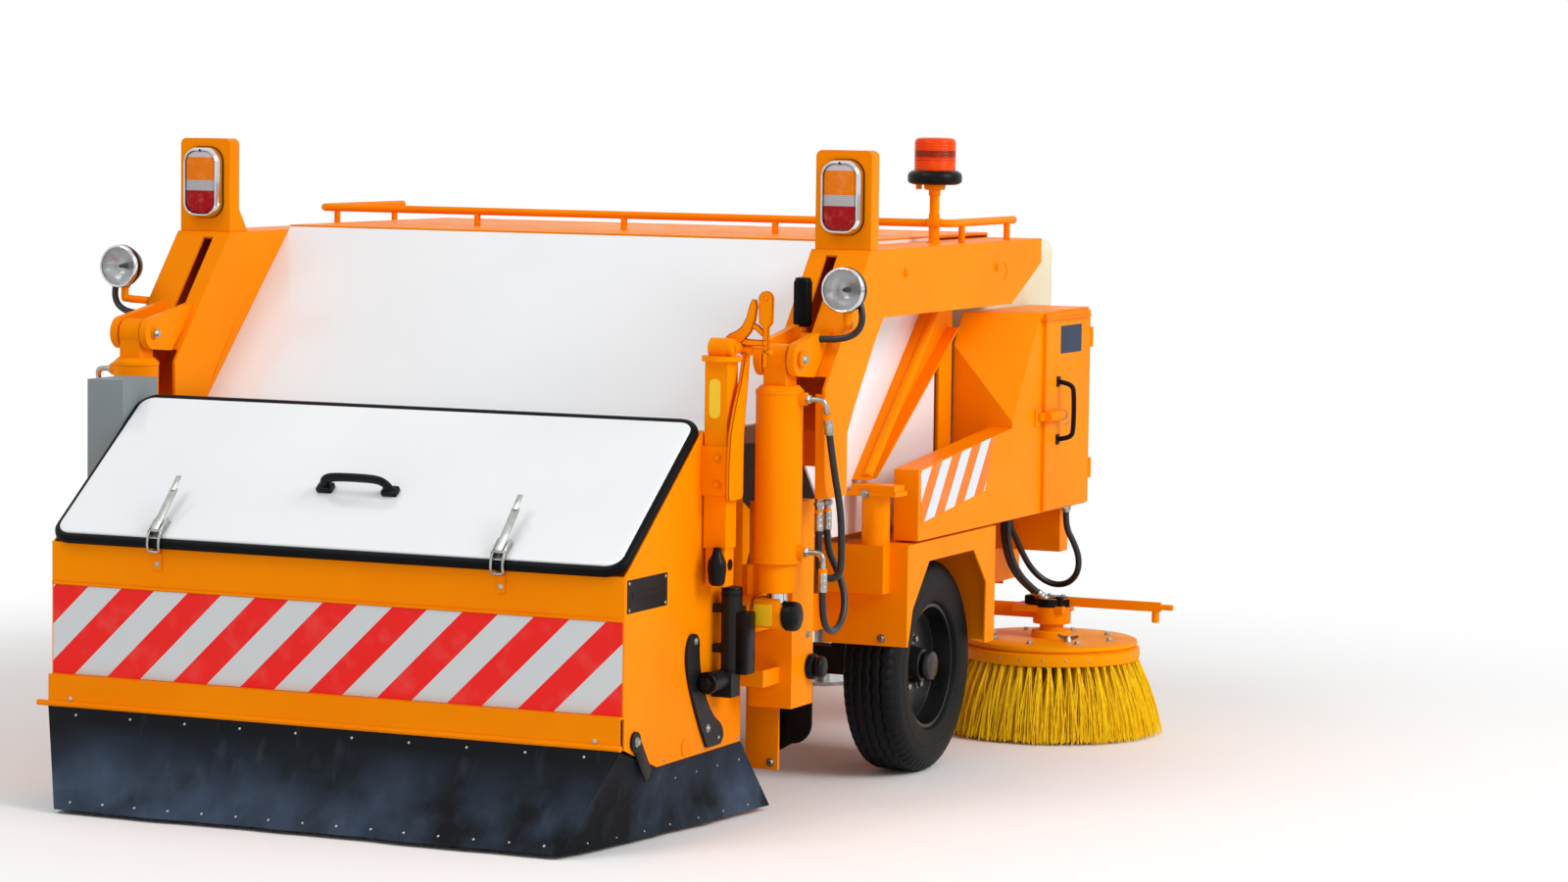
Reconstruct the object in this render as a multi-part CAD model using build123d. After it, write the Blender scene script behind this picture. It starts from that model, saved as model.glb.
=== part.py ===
from build123d import *
import math
import os

# Towed street sweeper with a rear brush hood, a lifting hopper and one side broom.
# Working frame while building: X to the machine's right, Y forward (the way it is towed),
# Z up. Y = 0 is the rear panel's outer face, Z = 0 the ground. Every solid is written with
# the tow eye's bore centre as origin. Millimetres and degrees.

# ---------------------------------------------------------------- driving dimensions
HALF_WIDTH = 1250          # outer faces of arms, fenders and cabinets
TOW_EYE_Y = 4200           # tow eye centre ahead of the rear panel
TOW_EYE_Z = 520            # towing height
EYE_BORE_R = 25
EYE_OUTER_R = 55
EYE_THICK = 44
RUN_GAP = 0.3              # running clearance round shafts and pins
SEAT_GAP = 0.3             # clearance between pieces of different bodies that seat

SHEET = 6                  # welded sheet of hood, fenders and cabinets
PLATE = 10                 # arm plates
HOOD_HALF = 980            # brush hood half width
RAIL_OUT_X = HOOD_HALF - 20    # frame rails, just inside the hood's sides
RAIL_W = 100
RAIL_LOW_Z = 500
RAIL_TOP_Z = 620
RAIL_REAR_Y = 860
RAIL_FRONT_Y = 3250

HOOD_LOW_Z = 305
HOOD_TOP_Z = 812
SIDE_LOW_Z = 226
SIDE_CUT_Y = 227
SIDE_FRONT_Y = 818
LIP_Z = 403
LIP_OUT = 22
HATCH_TOP_Y = 520
HATCH_TOP_Z = 1205
HATCH_THICK = 20
HATCH_INSET = 14
SEAL_W = 26
DECK_FRONT_Y = 990
SKIRT_THICK = 8
SKIRT_LOW_Z = 18
SKIRT_REAR_OUT = 175
SKIRT_REAR_HALF = HOOD_HALF - 130
SKIRT_CORNER_X = HOOD_HALF - 50
SKIRT_FRONT_X = HOOD_HALF + 35
SKIRT_FRONT_Y = 930

BRUSH_Y = 420
BRUSH_R = 255
BRUSH_CORE_R = 95
BRUSH_HALF = HOOD_HALF - 60
BRUSH_TUFT_ROWS = 16
BRUSH_TUFT_THICK = 16
BRUSH_SHAFT_R = 22
BRUSH_GROUND_GAP = 4
BRUSH_BEARING_R = 32

WHEEL_Y = 1885
TYRE_R = 350
TYRE_W = 200
TYRE_OUT_X = HALF_WIDTH - 58
RIM_R = 213
RIM_DISH = 92
HUB_R = 62
HUB_PROUD = 12
STUB_R = 24
AXLE_SIDE = 90

HINGE_Y = 2300             # lift hinge, in the arms' beams
HINGE_Z = 1630
HINGE_PIN_R = 28
ARM_IN_X = HALF_WIDTH - 200
ARM_TOP_Z = 1732
ARM_LOW_Z = 1520
ARM_FRONT_Y = 2650
ARM_BEND_Y = 1155
ARM_HEEL_Y = 815
ARM_HEEL_Z = 1318
ARM_TOE_Z = 986
ARM_TOE_FRONT_Y = 992
ARM_OPEN_Z = 1366          # below this the arm is open to the rear for the cylinder
SLOT_W = 38
FLANGE_W = 32              # return flange down the outer plate's rear edge and under its toe

CYL_X = HALF_WIDTH - 110
CYL_Y = 726
CYL_TOP_Z = 1415
CYL_LOW_Z = 635
BARREL_R = 72
BARREL_LOW_Z = 797
BARREL_TOP_Z = 1336
BARREL_CHAMFER = 14
GLAND_LEN = 88
GLAND_R = 60
STAGE_R = 48
ROD_R = 32
EYE_R = 40
CYL_EYE_W = 74
CYL_PIN_R = 20
EAR_THICK = 24
EAR_R = 52
UPPER_PORT_Z = 1296
LOWER_PORT_Z = 833
PORT_R = 20
PORT_LEN = 18
PIPE_R = 8
PIPE_BEND = 32
CRIMP_R = 13
HOSE_R = 11
HOSE_OUT_X = HALF_WIDTH + 40    # plane in which the lift hoses hang, beside the arm
FITTING_X = HALF_WIDTH - 24
FITTING_YS = (838, 902)
FITTING_LOW_Z = 888

HOPPER_LOW_Z = 812
HOPPER_REAR_Y = 1012
HOPPER_REAR_Z = 1192
HOPPER_CREST_Y = 1545
HOPPER_TOP_Z = 1742
HOPPER_FRONT_Y = 2190
HOPPER_MOUTH_Y = 1350
HOPPER_WALL = 8
ROOF_FRONT_Y = 2655

FENDER_REAR_Y = 1496
FENDER_FRONT_Y = 2264
FENDER_TOP_Z = 783
FENDER_LOW_Z = 457

BOX_DEPTH = 85
BOX_IN_X = HALF_WIDTH - BOX_DEPTH
BOX_REAR_Y = 1577
BOX_LOW_Z = 790
BOX_REAR_TOP_Z = 1019
BOX_FRONT_TOP_Z = 1100
CABINET_REAR_Y = 2402
CABINET_FRONT_Y = 3132
CABINET_TOP_Z = 1480
CABINET_CREASE_Z = 1120
CABINET_CREASE_Y = 2658
CABINET_IN_X = HALF_WIDTH - 216
DOOR_REAR_Y = 2682
DOOR_THICK = 12
DOOR_MARGIN = 22
DOOR_HINGE_R = 9

BROOM_X = 1200
BROOM_Y = 2950
BROOM_DISC_R = 275
BROOM_RING_R = 308
BROOM_TIP_R = 392
BROOM_DISC_Z = 320
BROOM_RING_Z = 262
BROOM_TUFTS = 40
BROOM_PIVOT_X = 800
BROOM_PIVOT_Z = 420

JACK_Y = 3700
JACK_TUBE_R = 36
JACK_LEG_R = 30
JACK_FOOT_R = 110


# ---------------------------------------------------------------- small builders
def block(x0, x1, y0, y1, z0, z1):
    """An upright box between two corners."""
    centre = ((x0 + x1) / 2, (y0 + y1) / 2, (z0 + z1) / 2)
    return Pos(*centre) * Box(abs(x1 - x0), abs(y1 - y0), abs(z1 - z0))


def plate_x(points_yz, x0, x1):
    """A flat plate with its outline in the Y-Z plane, from x0 to x1."""
    outline = make_face(Plane.YZ * Polyline(*points_yz, close=True))
    return Pos(min(x0, x1), 0, 0) * extrude(outline, abs(x1 - x0), dir=(1, 0, 0))


def rod_x(y, z, radius, x0, x1):
    """A round bar along X."""
    return Pos((x0 + x1) / 2, y, z) * Rot(0, 90, 0) * Cylinder(radius, abs(x1 - x0))


def rod_y(x, z, radius, y0, y1):
    """A round bar along Y."""
    return Pos(x, (y0 + y1) / 2, z) * Rot(90, 0, 0) * Cylinder(radius, abs(y1 - y0))


def rod_z(x, y, radius, z0, z1):
    """A round bar along Z."""
    return Pos(x, y, (z0 + z1) / 2) * Cylinder(radius, abs(z1 - z0))


def bar_between(start, end, radius):
    """A round bar from one point to another."""
    a, b = Vector(*start), Vector(*end)
    plane = Plane(origin=a, z_dir=b - a)
    return plane * Pos(0, 0, (b - a).length / 2) * Cylinder(radius, (b - a).length)


def tube_along(path, radius):
    """A round bar that follows a path of straight runs and arcs."""
    start = Plane(origin=path @ 0, z_dir=path % 0)
    return sweep(start * Circle(radius), path=path)


def mirrored(shape):
    """The same piece on the machine's other side."""
    return mirror(shape, about=Plane.YZ)


def turned_x(profile_xr, y, z):
    """A solid of revolution about an X axis through (y, z); profile points are (x, radius)."""
    face = make_face(Plane.XZ * Polyline(*profile_xr, close=True))
    return Pos(0, y, z) * revolve(face, Axis.X, 360)


def to_tow_eye(shape):
    return Pos(0, -TOW_EYE_Y, -TOW_EYE_Z) * shape


def hose(points, radius):
    """A hose on its route: straight runs and tangent arcs, each arc as large as its two runs allow."""
    corners = [Vector(*point) for point in points]
    runs = [after - before for before, after in zip(corners, corners[1:])]
    bends = []
    for first, second in zip(runs, runs[1:]):
        half_turn = math.radians(first.get_angle(second)) / 2
        bends.append(0.45 * min(first.length, second.length) / math.tan(half_turn))
    path = FilletPolyline(*corners, radius=bends)
    solid = tube_along(path, radius)
    section = math.pi * radius * radius
    print("hose", round(path.length), "mm, bends", [round(bend) for bend in bends],
          "volume share", round(solid.volume / (section * path.length), 4))
    return solid


os.makedirs("parts", exist_ok=True)


def write(node, *solids):
    """Writes one node; several solids that don't touch may share it."""
    loose = []
    for item in solids:
        loose.extend(to_tow_eye(item).solids())
    shape = loose[0] if len(loose) == 1 else Compound(children=loose)
    export_step(shape, f"parts/{node}.step")


def both_sides(node, *shapes):
    """Writes right-hand pieces and their mirror images as two nodes."""
    write(f"{node}_right", *shapes)
    write(f"{node}_left", *[mirrored(shape) for shape in shapes])


def pair(node, shape):
    """Writes a right-hand piece and its mirror image as one node of two solids."""
    write(node, shape, mirrored(shape))


# ---------------------------------------------------------------- chassis
rail_in_x = RAIL_OUT_X - RAIL_W
CROSS_W = 80
CROSS_REAR_Y = 1100
OUTRIGGER_Y = BROOM_Y + 90
OUTRIGGER_HALF = 1190
rails = block(rail_in_x, RAIL_OUT_X, RAIL_REAR_Y, RAIL_FRONT_Y, RAIL_LOW_Z, RAIL_TOP_Z)
frame = rails + mirrored(rails)
for cross_y in (CROSS_REAR_Y, HINGE_Y, RAIL_FRONT_Y - CROSS_W):
    frame += block(-rail_in_x, rail_in_x, cross_y, cross_y + CROSS_W, RAIL_LOW_Z, RAIL_TOP_Z)
frame += block(-OUTRIGGER_HALF, OUTRIGGER_HALF, OUTRIGGER_Y, OUTRIGGER_Y + CROSS_W,
               RAIL_TOP_Z, BOX_LOW_Z - SEAT_GAP)
write("chassis_frame", frame)

# axle beam with its seats under the rails and the two stub shafts
seat_half = AXLE_SIDE / 2
stub_end_x = TYRE_OUT_X - RIM_DISH + HUB_PROUD + 40
axle_beam = block(-RAIL_OUT_X, RAIL_OUT_X, WHEEL_Y - seat_half, WHEEL_Y + seat_half,
                  TYRE_R - seat_half, TYRE_R + seat_half)
axle = axle_beam + rod_x(WHEEL_Y, TYRE_R, STUB_R, -stub_end_x, stub_end_x)
for side in (1, -1):
    axle += block(side * rail_in_x, side * RAIL_OUT_X, WHEEL_Y - AXLE_SIDE, WHEEL_Y + AXLE_SIDE,
                  TYRE_R + seat_half, RAIL_LOW_Z)
write("axle", axle)

# drawbar: two converging box tubes, a cross bar for the jack and the nose plate
DRAW_W = 80
DRAW_LOW_Z = TOW_EYE_Z - 50
DRAW_TOP_Z = TOW_EYE_Z + 50
NOSE_Y = 4060
NOSE_HALF = 65
draw_root_x = RAIL_OUT_X - 60
leg = Polyline((draw_root_x, RAIL_FRONT_Y), (draw_root_x - DRAW_W * 1.3, RAIL_FRONT_Y),
               (0, NOSE_Y - DRAW_W), (0, NOSE_Y), (NOSE_HALF, NOSE_Y), close=True)
draw_leg = Pos(0, 0, DRAW_LOW_Z) * extrude(make_face(leg), DRAW_TOP_Z - DRAW_LOW_Z, dir=(0, 0, 1))
jack_span = draw_root_x * (NOSE_Y - JACK_Y) / (NOSE_Y - RAIL_FRONT_Y) - DRAW_W / 2
drawbar = draw_leg + mirrored(draw_leg)
drawbar += block(-jack_span, jack_span, JACK_Y - 45, JACK_Y + 45, DRAW_LOW_Z, DRAW_TOP_Z)
drawbar += block(-NOSE_HALF, NOSE_HALF, NOSE_Y - 60, NOSE_Y + 14, DRAW_LOW_Z, DRAW_TOP_Z)
drawbar -= rod_z(0, JACK_Y, JACK_TUBE_R, DRAW_LOW_Z - 1, DRAW_TOP_Z + 1)
write("drawbar", drawbar)

eye_shank_r = 30
eye_ring = rod_z(0, TOW_EYE_Y, EYE_OUTER_R, TOW_EYE_Z - EYE_THICK / 2, TOW_EYE_Z + EYE_THICK / 2)
tow_eye = eye_ring + block(-eye_shank_r, eye_shank_r, NOSE_Y + 14, TOW_EYE_Y - EYE_BORE_R - 12,
                           TOW_EYE_Z - EYE_THICK / 2, TOW_EYE_Z + EYE_THICK / 2)
tow_eye += block(-NOSE_HALF, NOSE_HALF, NOSE_Y + 14, NOSE_Y + 34, DRAW_LOW_Z, DRAW_TOP_Z)
tow_eye -= rod_z(0, TOW_EYE_Y, EYE_BORE_R, TOW_EYE_Z - EYE_THICK, TOW_EYE_Z + EYE_THICK)
write("tow_eye", tow_eye)

# parking jack: sleeve with crank, sliding leg with foot
JACK_SLEEVE_LOW_Z = 330
JACK_SLEEVE_TOP_Z = 1040
JACK_FOOT_THICK = 14
jack_bore_r = JACK_LEG_R + SEAT_GAP
sleeve = rod_z(0, JACK_Y, JACK_TUBE_R, JACK_SLEEVE_LOW_Z, JACK_SLEEVE_TOP_Z)
sleeve -= rod_z(0, JACK_Y, jack_bore_r, JACK_SLEEVE_LOW_Z - 1, JACK_SLEEVE_TOP_Z - 12)
crank_z = JACK_SLEEVE_TOP_Z - 6
sleeve += rod_x(JACK_Y, crank_z, 9, 0, 150) + rod_z(150, JACK_Y, 9, crank_z, crank_z + 90)
sleeve += rod_z(150, JACK_Y, 15, crank_z + 40, crank_z + 130)
write("jack_sleeve", sleeve)
jack_leg = rod_z(0, JACK_Y, JACK_LEG_R, JACK_FOOT_THICK, 700)
jack_leg += rod_z(0, JACK_Y, JACK_FOOT_R, 0, JACK_FOOT_THICK)
write("jack_leg", jack_leg)

# posts that carry the lift hinge beside the rails
POST_OUT_X = ARM_IN_X - 14
POST_REAR_Y = FENDER_FRONT_Y + 1
POST_FRONT_Y = HINGE_Y + 78
post = block(rail_in_x + 30, POST_OUT_X, POST_REAR_Y, POST_FRONT_Y, RAIL_TOP_Z, HINGE_Z)
post += rod_x(HINGE_Y + 8, HINGE_Z, 62, rail_in_x + 30, POST_OUT_X)
post -= block(rail_in_x + 30 + PLATE, POST_OUT_X - PLATE, POST_REAR_Y - 1, POST_FRONT_Y - PLATE,
              RAIL_TOP_Z + PLATE, HINGE_Z - 80)
post += rod_x(HINGE_Y, HINGE_Z, HINGE_PIN_R, POST_OUT_X - 20, HALF_WIDTH - 2)
pair("hinge_posts", post)

# columns that take the lift cylinders' feet
COLUMN_IN_X = HOOD_HALF + 4
COLUMN_OUT_X = COLUMN_IN_X + 146
COLUMN_REAR_Y = 862
COLUMN_FRONT_Y = 1025
COLUMN_LOW_Z = 330
COLUMN_TOP_Z = 965
LUG_IN_X = CYL_X - 100
LUG_THICK = 26
LUG_R = 58
SHOE_LOW_Z = 118
STAY_REAR_Y = 740
STAY_LOW_Z = 408
STAY_TOP_Z = 460
column_parts = []
lug_outline = make_face(Plane.YZ * (Polyline((CYL_Y, CYL_LOW_Z + LUG_R), (COLUMN_REAR_Y + 5, CYL_LOW_Z + LUG_R),
                                             (COLUMN_REAR_Y + 5, CYL_LOW_Z - LUG_R), (CYL_Y, CYL_LOW_Z - LUG_R))
                                    + ThreePointArc((CYL_Y, CYL_LOW_Z - LUG_R), (CYL_Y - LUG_R, CYL_LOW_Z),
                                                    (CYL_Y, CYL_LOW_Z + LUG_R))))
for side in (1, -1):
    column = block(side * COLUMN_IN_X, side * COLUMN_OUT_X, COLUMN_REAR_Y, COLUMN_FRONT_Y,
                   COLUMN_LOW_Z, COLUMN_TOP_Z)
    column -= block(side * (COLUMN_IN_X + PLATE), side * (COLUMN_OUT_X - PLATE), COLUMN_REAR_Y + PLATE,
                    COLUMN_FRONT_Y + 1, COLUMN_LOW_Z - 1, COLUMN_TOP_Z - PLATE)
    column += block(side * RAIL_OUT_X, side * COLUMN_IN_X, COLUMN_REAR_Y, COLUMN_FRONT_Y,
                    RAIL_LOW_Z, RAIL_TOP_Z)
    lug_start_x = LUG_IN_X if side > 0 else -LUG_IN_X - LUG_THICK
    column += Pos(lug_start_x, 0, 0) * extrude(lug_outline, LUG_THICK, dir=(1, 0, 0))
    column += block(side * (COLUMN_IN_X - 60), side * (COLUMN_IN_X + 50), COLUMN_FRONT_Y - 42,
                    COLUMN_FRONT_Y - 30, SHOE_LOW_Z, RAIL_LOW_Z - 12)
    column += block(side * (HOOD_HALF + SEAT_GAP), side * (LUG_IN_X + 50), STAY_REAR_Y, STAY_REAR_Y + PLATE,
                    STAY_LOW_Z, STAY_TOP_Z)
    column += block(side * (LUG_IN_X + 50 - PLATE), side * (LUG_IN_X + 50), STAY_REAR_Y, COLUMN_REAR_Y + 5,
                    STAY_LOW_Z, STAY_TOP_Z)
    column_parts.append(column)
write("lift_columns", *column_parts)

# ---------------------------------------------------------------- brush hood
hatch_len = math.hypot(HATCH_TOP_Y, HATCH_TOP_Z - HOOD_TOP_Z)
hatch_angle = math.degrees(math.atan2(HATCH_TOP_Z - HOOD_TOP_Z, HATCH_TOP_Y))
rear_panel = block(-HOOD_HALF, HOOD_HALF, 0, SHEET, LIP_Z - SHEET, HOOD_TOP_Z)
rear_panel += block(-HOOD_HALF, HOOD_HALF, -LIP_OUT, SHEET, LIP_Z - SHEET, LIP_Z)
rear_panel += block(-HOOD_HALF, HOOD_HALF, -LIP_OUT, -LIP_OUT + SHEET, HOOD_LOW_Z, LIP_Z)
rear_panel += rod_x(-LIP_OUT, HOOD_LOW_Z + 8, 9, -HOOD_HALF - 38, HOOD_HALF + 4)
write("rear_panel", rear_panel)

deck_half = HOOD_HALF - SHEET
deck_z = HATCH_TOP_Z - 10
side_outline = [(SHEET, HOOD_LOW_Z), (SHEET, HOOD_TOP_Z), (HATCH_TOP_Y, HATCH_TOP_Z), (HATCH_TOP_Y + 14, deck_z),
                (SIDE_FRONT_Y, deck_z), (SIDE_FRONT_Y, SIDE_LOW_Z), (SIDE_CUT_Y, SIDE_LOW_Z)]
brush_z = BRUSH_R + BRUSH_GROUND_GAP
side_panel = plate_x(side_outline, HOOD_HALF - SHEET, HOOD_HALF)
side_panel += rod_x(BRUSH_Y, brush_z, BRUSH_BEARING_R, HOOD_HALF - 34, HOOD_HALF - SHEET)
side_panel -= rod_x(BRUSH_Y, brush_z, BRUSH_SHAFT_R + RUN_GAP, HOOD_HALF - 40, HOOD_HALF + 1)
side_panel += block(HOOD_HALF - SHEET, COLUMN_IN_X + 14, SIDE_FRONT_Y, COLUMN_REAR_Y,
                    RAIL_LOW_Z, RAIL_TOP_Z + 150)
pair("side_panels", side_panel)

deck = block(-HOOD_HALF, HOOD_HALF, HATCH_TOP_Y + 16, DECK_FRONT_Y, deck_z, deck_z + SHEET)
deck += block(-deck_half, deck_half, HATCH_TOP_Y + 16, HATCH_TOP_Y + 22, deck_z - 40, deck_z)
deck += block(-deck_half, deck_half, DECK_FRONT_Y - 36, DECK_FRONT_Y - 30, deck_z - 60, deck_z)
write("hood_deck", deck)

# conveyor trough from the brush up to the hopper's mouth
CONV_LOW = (760, 90)
CONV_HIGH = (1190, 880)
CONV_FLOOR = 30
CONV_CHEEK = 120
conv_dir = Vector(0, CONV_HIGH[0] - CONV_LOW[0], CONV_HIGH[1] - CONV_LOW[1])
conv_len = conv_dir.length
conv_angle = math.degrees(math.atan2(conv_dir.Z, conv_dir.Y))
trough = block(-rail_in_x, rail_in_x, 0, conv_len, 0, CONV_CHEEK)
trough -= block(-rail_in_x + 12, rail_in_x - 12, -1, conv_len + 1, CONV_FLOOR, CONV_CHEEK + 1)
conveyor = Pos(0, *CONV_LOW) * Rot(conv_angle, 0, 0) * trough
write("conveyor", conveyor)

# rubber skirts: a rear sheet and two side sheets, with the strap over the corner
rear_top_z = HOOD_LOW_Z - 1 - SEAT_GAP
rear_skirt_out = Polyline((-HOOD_HALF + 10, -LIP_OUT, rear_top_z),
                          (HOOD_HALF - 10, -LIP_OUT, rear_top_z),
                          (SKIRT_REAR_HALF, -SKIRT_REAR_OUT, SKIRT_LOW_Z),
                          (-SKIRT_REAR_HALF, -SKIRT_REAR_OUT, SKIRT_LOW_Z), close=True)
rear_skirt = extrude(make_face(rear_skirt_out), -SKIRT_THICK)
write("skirt_rear", rear_skirt)


def skirt_section(top, low):
    """A strip of skirt cut across: from its top edge to its low edge, thickness towards +X."""
    return make_face(Polyline(top, low, (low[0] + SKIRT_THICK, low[1], low[2]),
                              (top[0] + SKIRT_THICK, top[1], top[2]), close=True))


side_skirt = loft([skirt_section((deck_half, 4, HOOD_LOW_Z - SEAT_GAP),
                                 (SKIRT_REAR_HALF + 6, -SKIRT_REAR_OUT + 26, SKIRT_LOW_Z)),
                   skirt_section((deck_half, SIDE_CUT_Y, SIDE_LOW_Z - SEAT_GAP),
                                 (SKIRT_CORNER_X, 110, SKIRT_LOW_Z)),
                   skirt_section((deck_half, SIDE_FRONT_Y - 4, SIDE_LOW_Z - SEAT_GAP),
                                 (SKIRT_FRONT_X, SKIRT_FRONT_Y, SKIRT_LOW_Z))], ruled=True)
FLAP_THICK = 12
FLAP_IN_X = COLUMN_IN_X - 44
FLAP_TOP_Z = COLUMN_LOW_Z + 90
FLAP_LOW_Z = 125
FLAP_CORNER = 70
flap_y = COLUMN_FRONT_Y + SEAT_GAP
flap_face = make_face(Plane.XZ * Polyline((FLAP_IN_X, FLAP_TOP_Z), (COLUMN_OUT_X, FLAP_TOP_Z),
                                          (COLUMN_OUT_X, FLAP_LOW_Z + 75), (FLAP_IN_X, FLAP_LOW_Z), close=True))
flap = Pos(0, flap_y, 0) * extrude(flap_face, FLAP_THICK, dir=(0, 1, 0))
low_corner = flap.edges().filter_by(Axis.Y).sort_by(Axis.X)[-2:].sort_by(Axis.Z)[0]
flap = fillet(low_corner, FLAP_CORNER)
write("side_skirts", side_skirt, mirrored(side_skirt), flap, mirrored(flap))

# hatch: white lid on the sloping back, seal frame below it, handle and two latches
hatch_frame = Plane(origin=(0, 0, HOOD_TOP_Z), x_dir=(1, 0, 0),
                    z_dir=(0, -math.sin(math.radians(hatch_angle)), math.cos(math.radians(hatch_angle))))
HATCH_CORNER = 46
SEAL_THICK = 14
lid_half = HOOD_HALF - HATCH_INSET
lid_face = Pos(0, hatch_len / 2 + 4, 0) * RectangleRounded(2 * lid_half, hatch_len - 14, HATCH_CORNER)
lid = hatch_frame * Pos(0, 0, SEAL_THICK + SEAT_GAP) * extrude(lid_face, HATCH_THICK, dir=(0, 0, 1))
write("hatch_lid", lid)
seal_out = Pos(0, hatch_len / 2 + 4, 0) * RectangleRounded(2 * HOOD_HALF, hatch_len + 6, HATCH_CORNER + 12)
seal_in = Pos(0, hatch_len / 2 + 4, 0) * RectangleRounded(2 * lid_half - 2 * SEAL_W, hatch_len - 2 * SEAL_W,
                                                          HATCH_CORNER)
seal = hatch_frame * Pos(0, 0, SEAT_GAP) * extrude(seal_out - seal_in, SEAL_THICK, dir=(0, 0, 1))
write("hatch_seal", seal)
lid_top = SEAL_THICK + SEAT_GAP + HATCH_THICK
HANDLE_ALONG = 0.36 * hatch_len
handle_foot = 26
handle_half = 120
handle_rise = 52
bow = Polyline((-handle_half, 0), (-handle_half + 22, handle_rise), (handle_half - 22, handle_rise),
               (handle_half, 0), (handle_half - 30, 0), (handle_half - 44, handle_rise - 22),
               (-handle_half + 44, handle_rise - 22), (-handle_half + 30, 0), close=True)
bow_solid = Pos(0, handle_foot / 2, 0) * Rot(90, 0, 0) * extrude(make_face(bow), handle_foot, dir=(0, 0, 1))
hatch_handle = hatch_frame * Pos(30, HANDLE_ALONG, lid_top) * bow_solid
write("hatch_handle", hatch_handle)
LATCH_XS = (-600, 545)
LATCH_LEN = 190
latch_parts = []
for latch_x in LATCH_XS:
    base = block(latch_x - 24, latch_x + 24, 2, 62, lid_top, lid_top + 14)
    lever = Pos(latch_x, 20, lid_top + 14) * Rot(9, 0, 0) * Pos(0, LATCH_LEN / 2, 5) * Box(22, LATCH_LEN, 10)
    latch_parts.append(hatch_frame * (base + lever))
write("hatch_latches", *latch_parts)

# three hinges behind the lid's top edge: pins and leaves on the deck, knuckles on the lid
HINGE_XS = (-700, 0, 700)
HATCH_PIN_ALONG = hatch_len + 16
HATCH_PIN_UP = 4
HATCH_PIN_R = 4.5
KNUCKLE_R = 8
KNUCKLE_HALF = 25
LEAF_THICK = 6


def on_hatch(along, up):
    """A point of the hatch's plane, as (Y, Z): so far up the slope, so far off it."""
    slope = math.radians(hatch_angle)
    return (along * math.cos(slope) - up * math.sin(slope),
            HOOD_TOP_Z + along * math.sin(slope) + up * math.cos(slope))


pin_y, pin_z = on_hatch(HATCH_PIN_ALONG, HATCH_PIN_UP)
print("hatch pin", round(pin_y, 2), round(pin_z, 2))
lid_end = hatch_len / 2 + 4 + (hatch_len - 14) / 2
strap_low = SEAL_THICK + 2 * SEAT_GAP
strap_outline = [on_hatch(lid_end, strap_low), on_hatch(lid_end, strap_low + LEAF_THICK),
                 on_hatch(HATCH_PIN_ALONG + 4, strap_low + LEAF_THICK), on_hatch(HATCH_PIN_ALONG + 6, HATCH_PIN_UP),
                 on_hatch(HATCH_PIN_ALONG - 6, HATCH_PIN_UP), on_hatch(HATCH_PIN_ALONG - 6, strap_low)]
strap_parts = []
leaf_parts = []
for hinge_x in HINGE_XS:
    strap = plate_x(strap_outline, hinge_x - KNUCKLE_HALF, hinge_x + KNUCKLE_HALF)
    strap += rod_x(pin_y, pin_z, KNUCKLE_R, hinge_x - KNUCKLE_HALF, hinge_x + KNUCKLE_HALF)
    strap -= rod_x(pin_y, pin_z, HATCH_PIN_R + RUN_GAP, hinge_x - KNUCKLE_HALF - 1, hinge_x + KNUCKLE_HALF + 1)
    strap_parts.append(strap)
    leaf = rod_x(pin_y, pin_z, HATCH_PIN_R, hinge_x - 2 * KNUCKLE_HALF, hinge_x + 2 * KNUCKLE_HALF)
    for end in (-1, 1):
        near, far = hinge_x + end * (KNUCKLE_HALF + RUN_GAP), hinge_x + end * 2 * KNUCKLE_HALF
        leaf += rod_x(pin_y, pin_z, KNUCKLE_R, near, far)
        leaf += block(near, far, pin_y + 1, HATCH_TOP_Y + 60, deck_z + SHEET, deck_z + SHEET + LEAF_THICK)
        leaf += block(near, far, pin_y + 1, pin_y + KNUCKLE_R + 4, deck_z + SHEET, pin_z)
    leaf_parts.append(leaf)
write("hatch_straps", *strap_parts)
write("hatch_hinges", *leaf_parts)

# ---------------------------------------------------------------- main brush
shaft_half = HOOD_HALF - SHEET - 2
brush = rod_x(BRUSH_Y, brush_z, BRUSH_CORE_R, -BRUSH_HALF, BRUSH_HALF)
brush += rod_x(BRUSH_Y, brush_z, BRUSH_SHAFT_R, -shaft_half, shaft_half)
for row in range(BRUSH_TUFT_ROWS):
    fin = block(-BRUSH_HALF, BRUSH_HALF, -BRUSH_TUFT_THICK / 2, BRUSH_TUFT_THICK / 2,
                BRUSH_CORE_R - 6, BRUSH_R)
    brush += Pos(0, BRUSH_Y, brush_z) * Rot(row * 360 / BRUSH_TUFT_ROWS, 0, 0) * fin
write("main_brush", brush)

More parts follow.
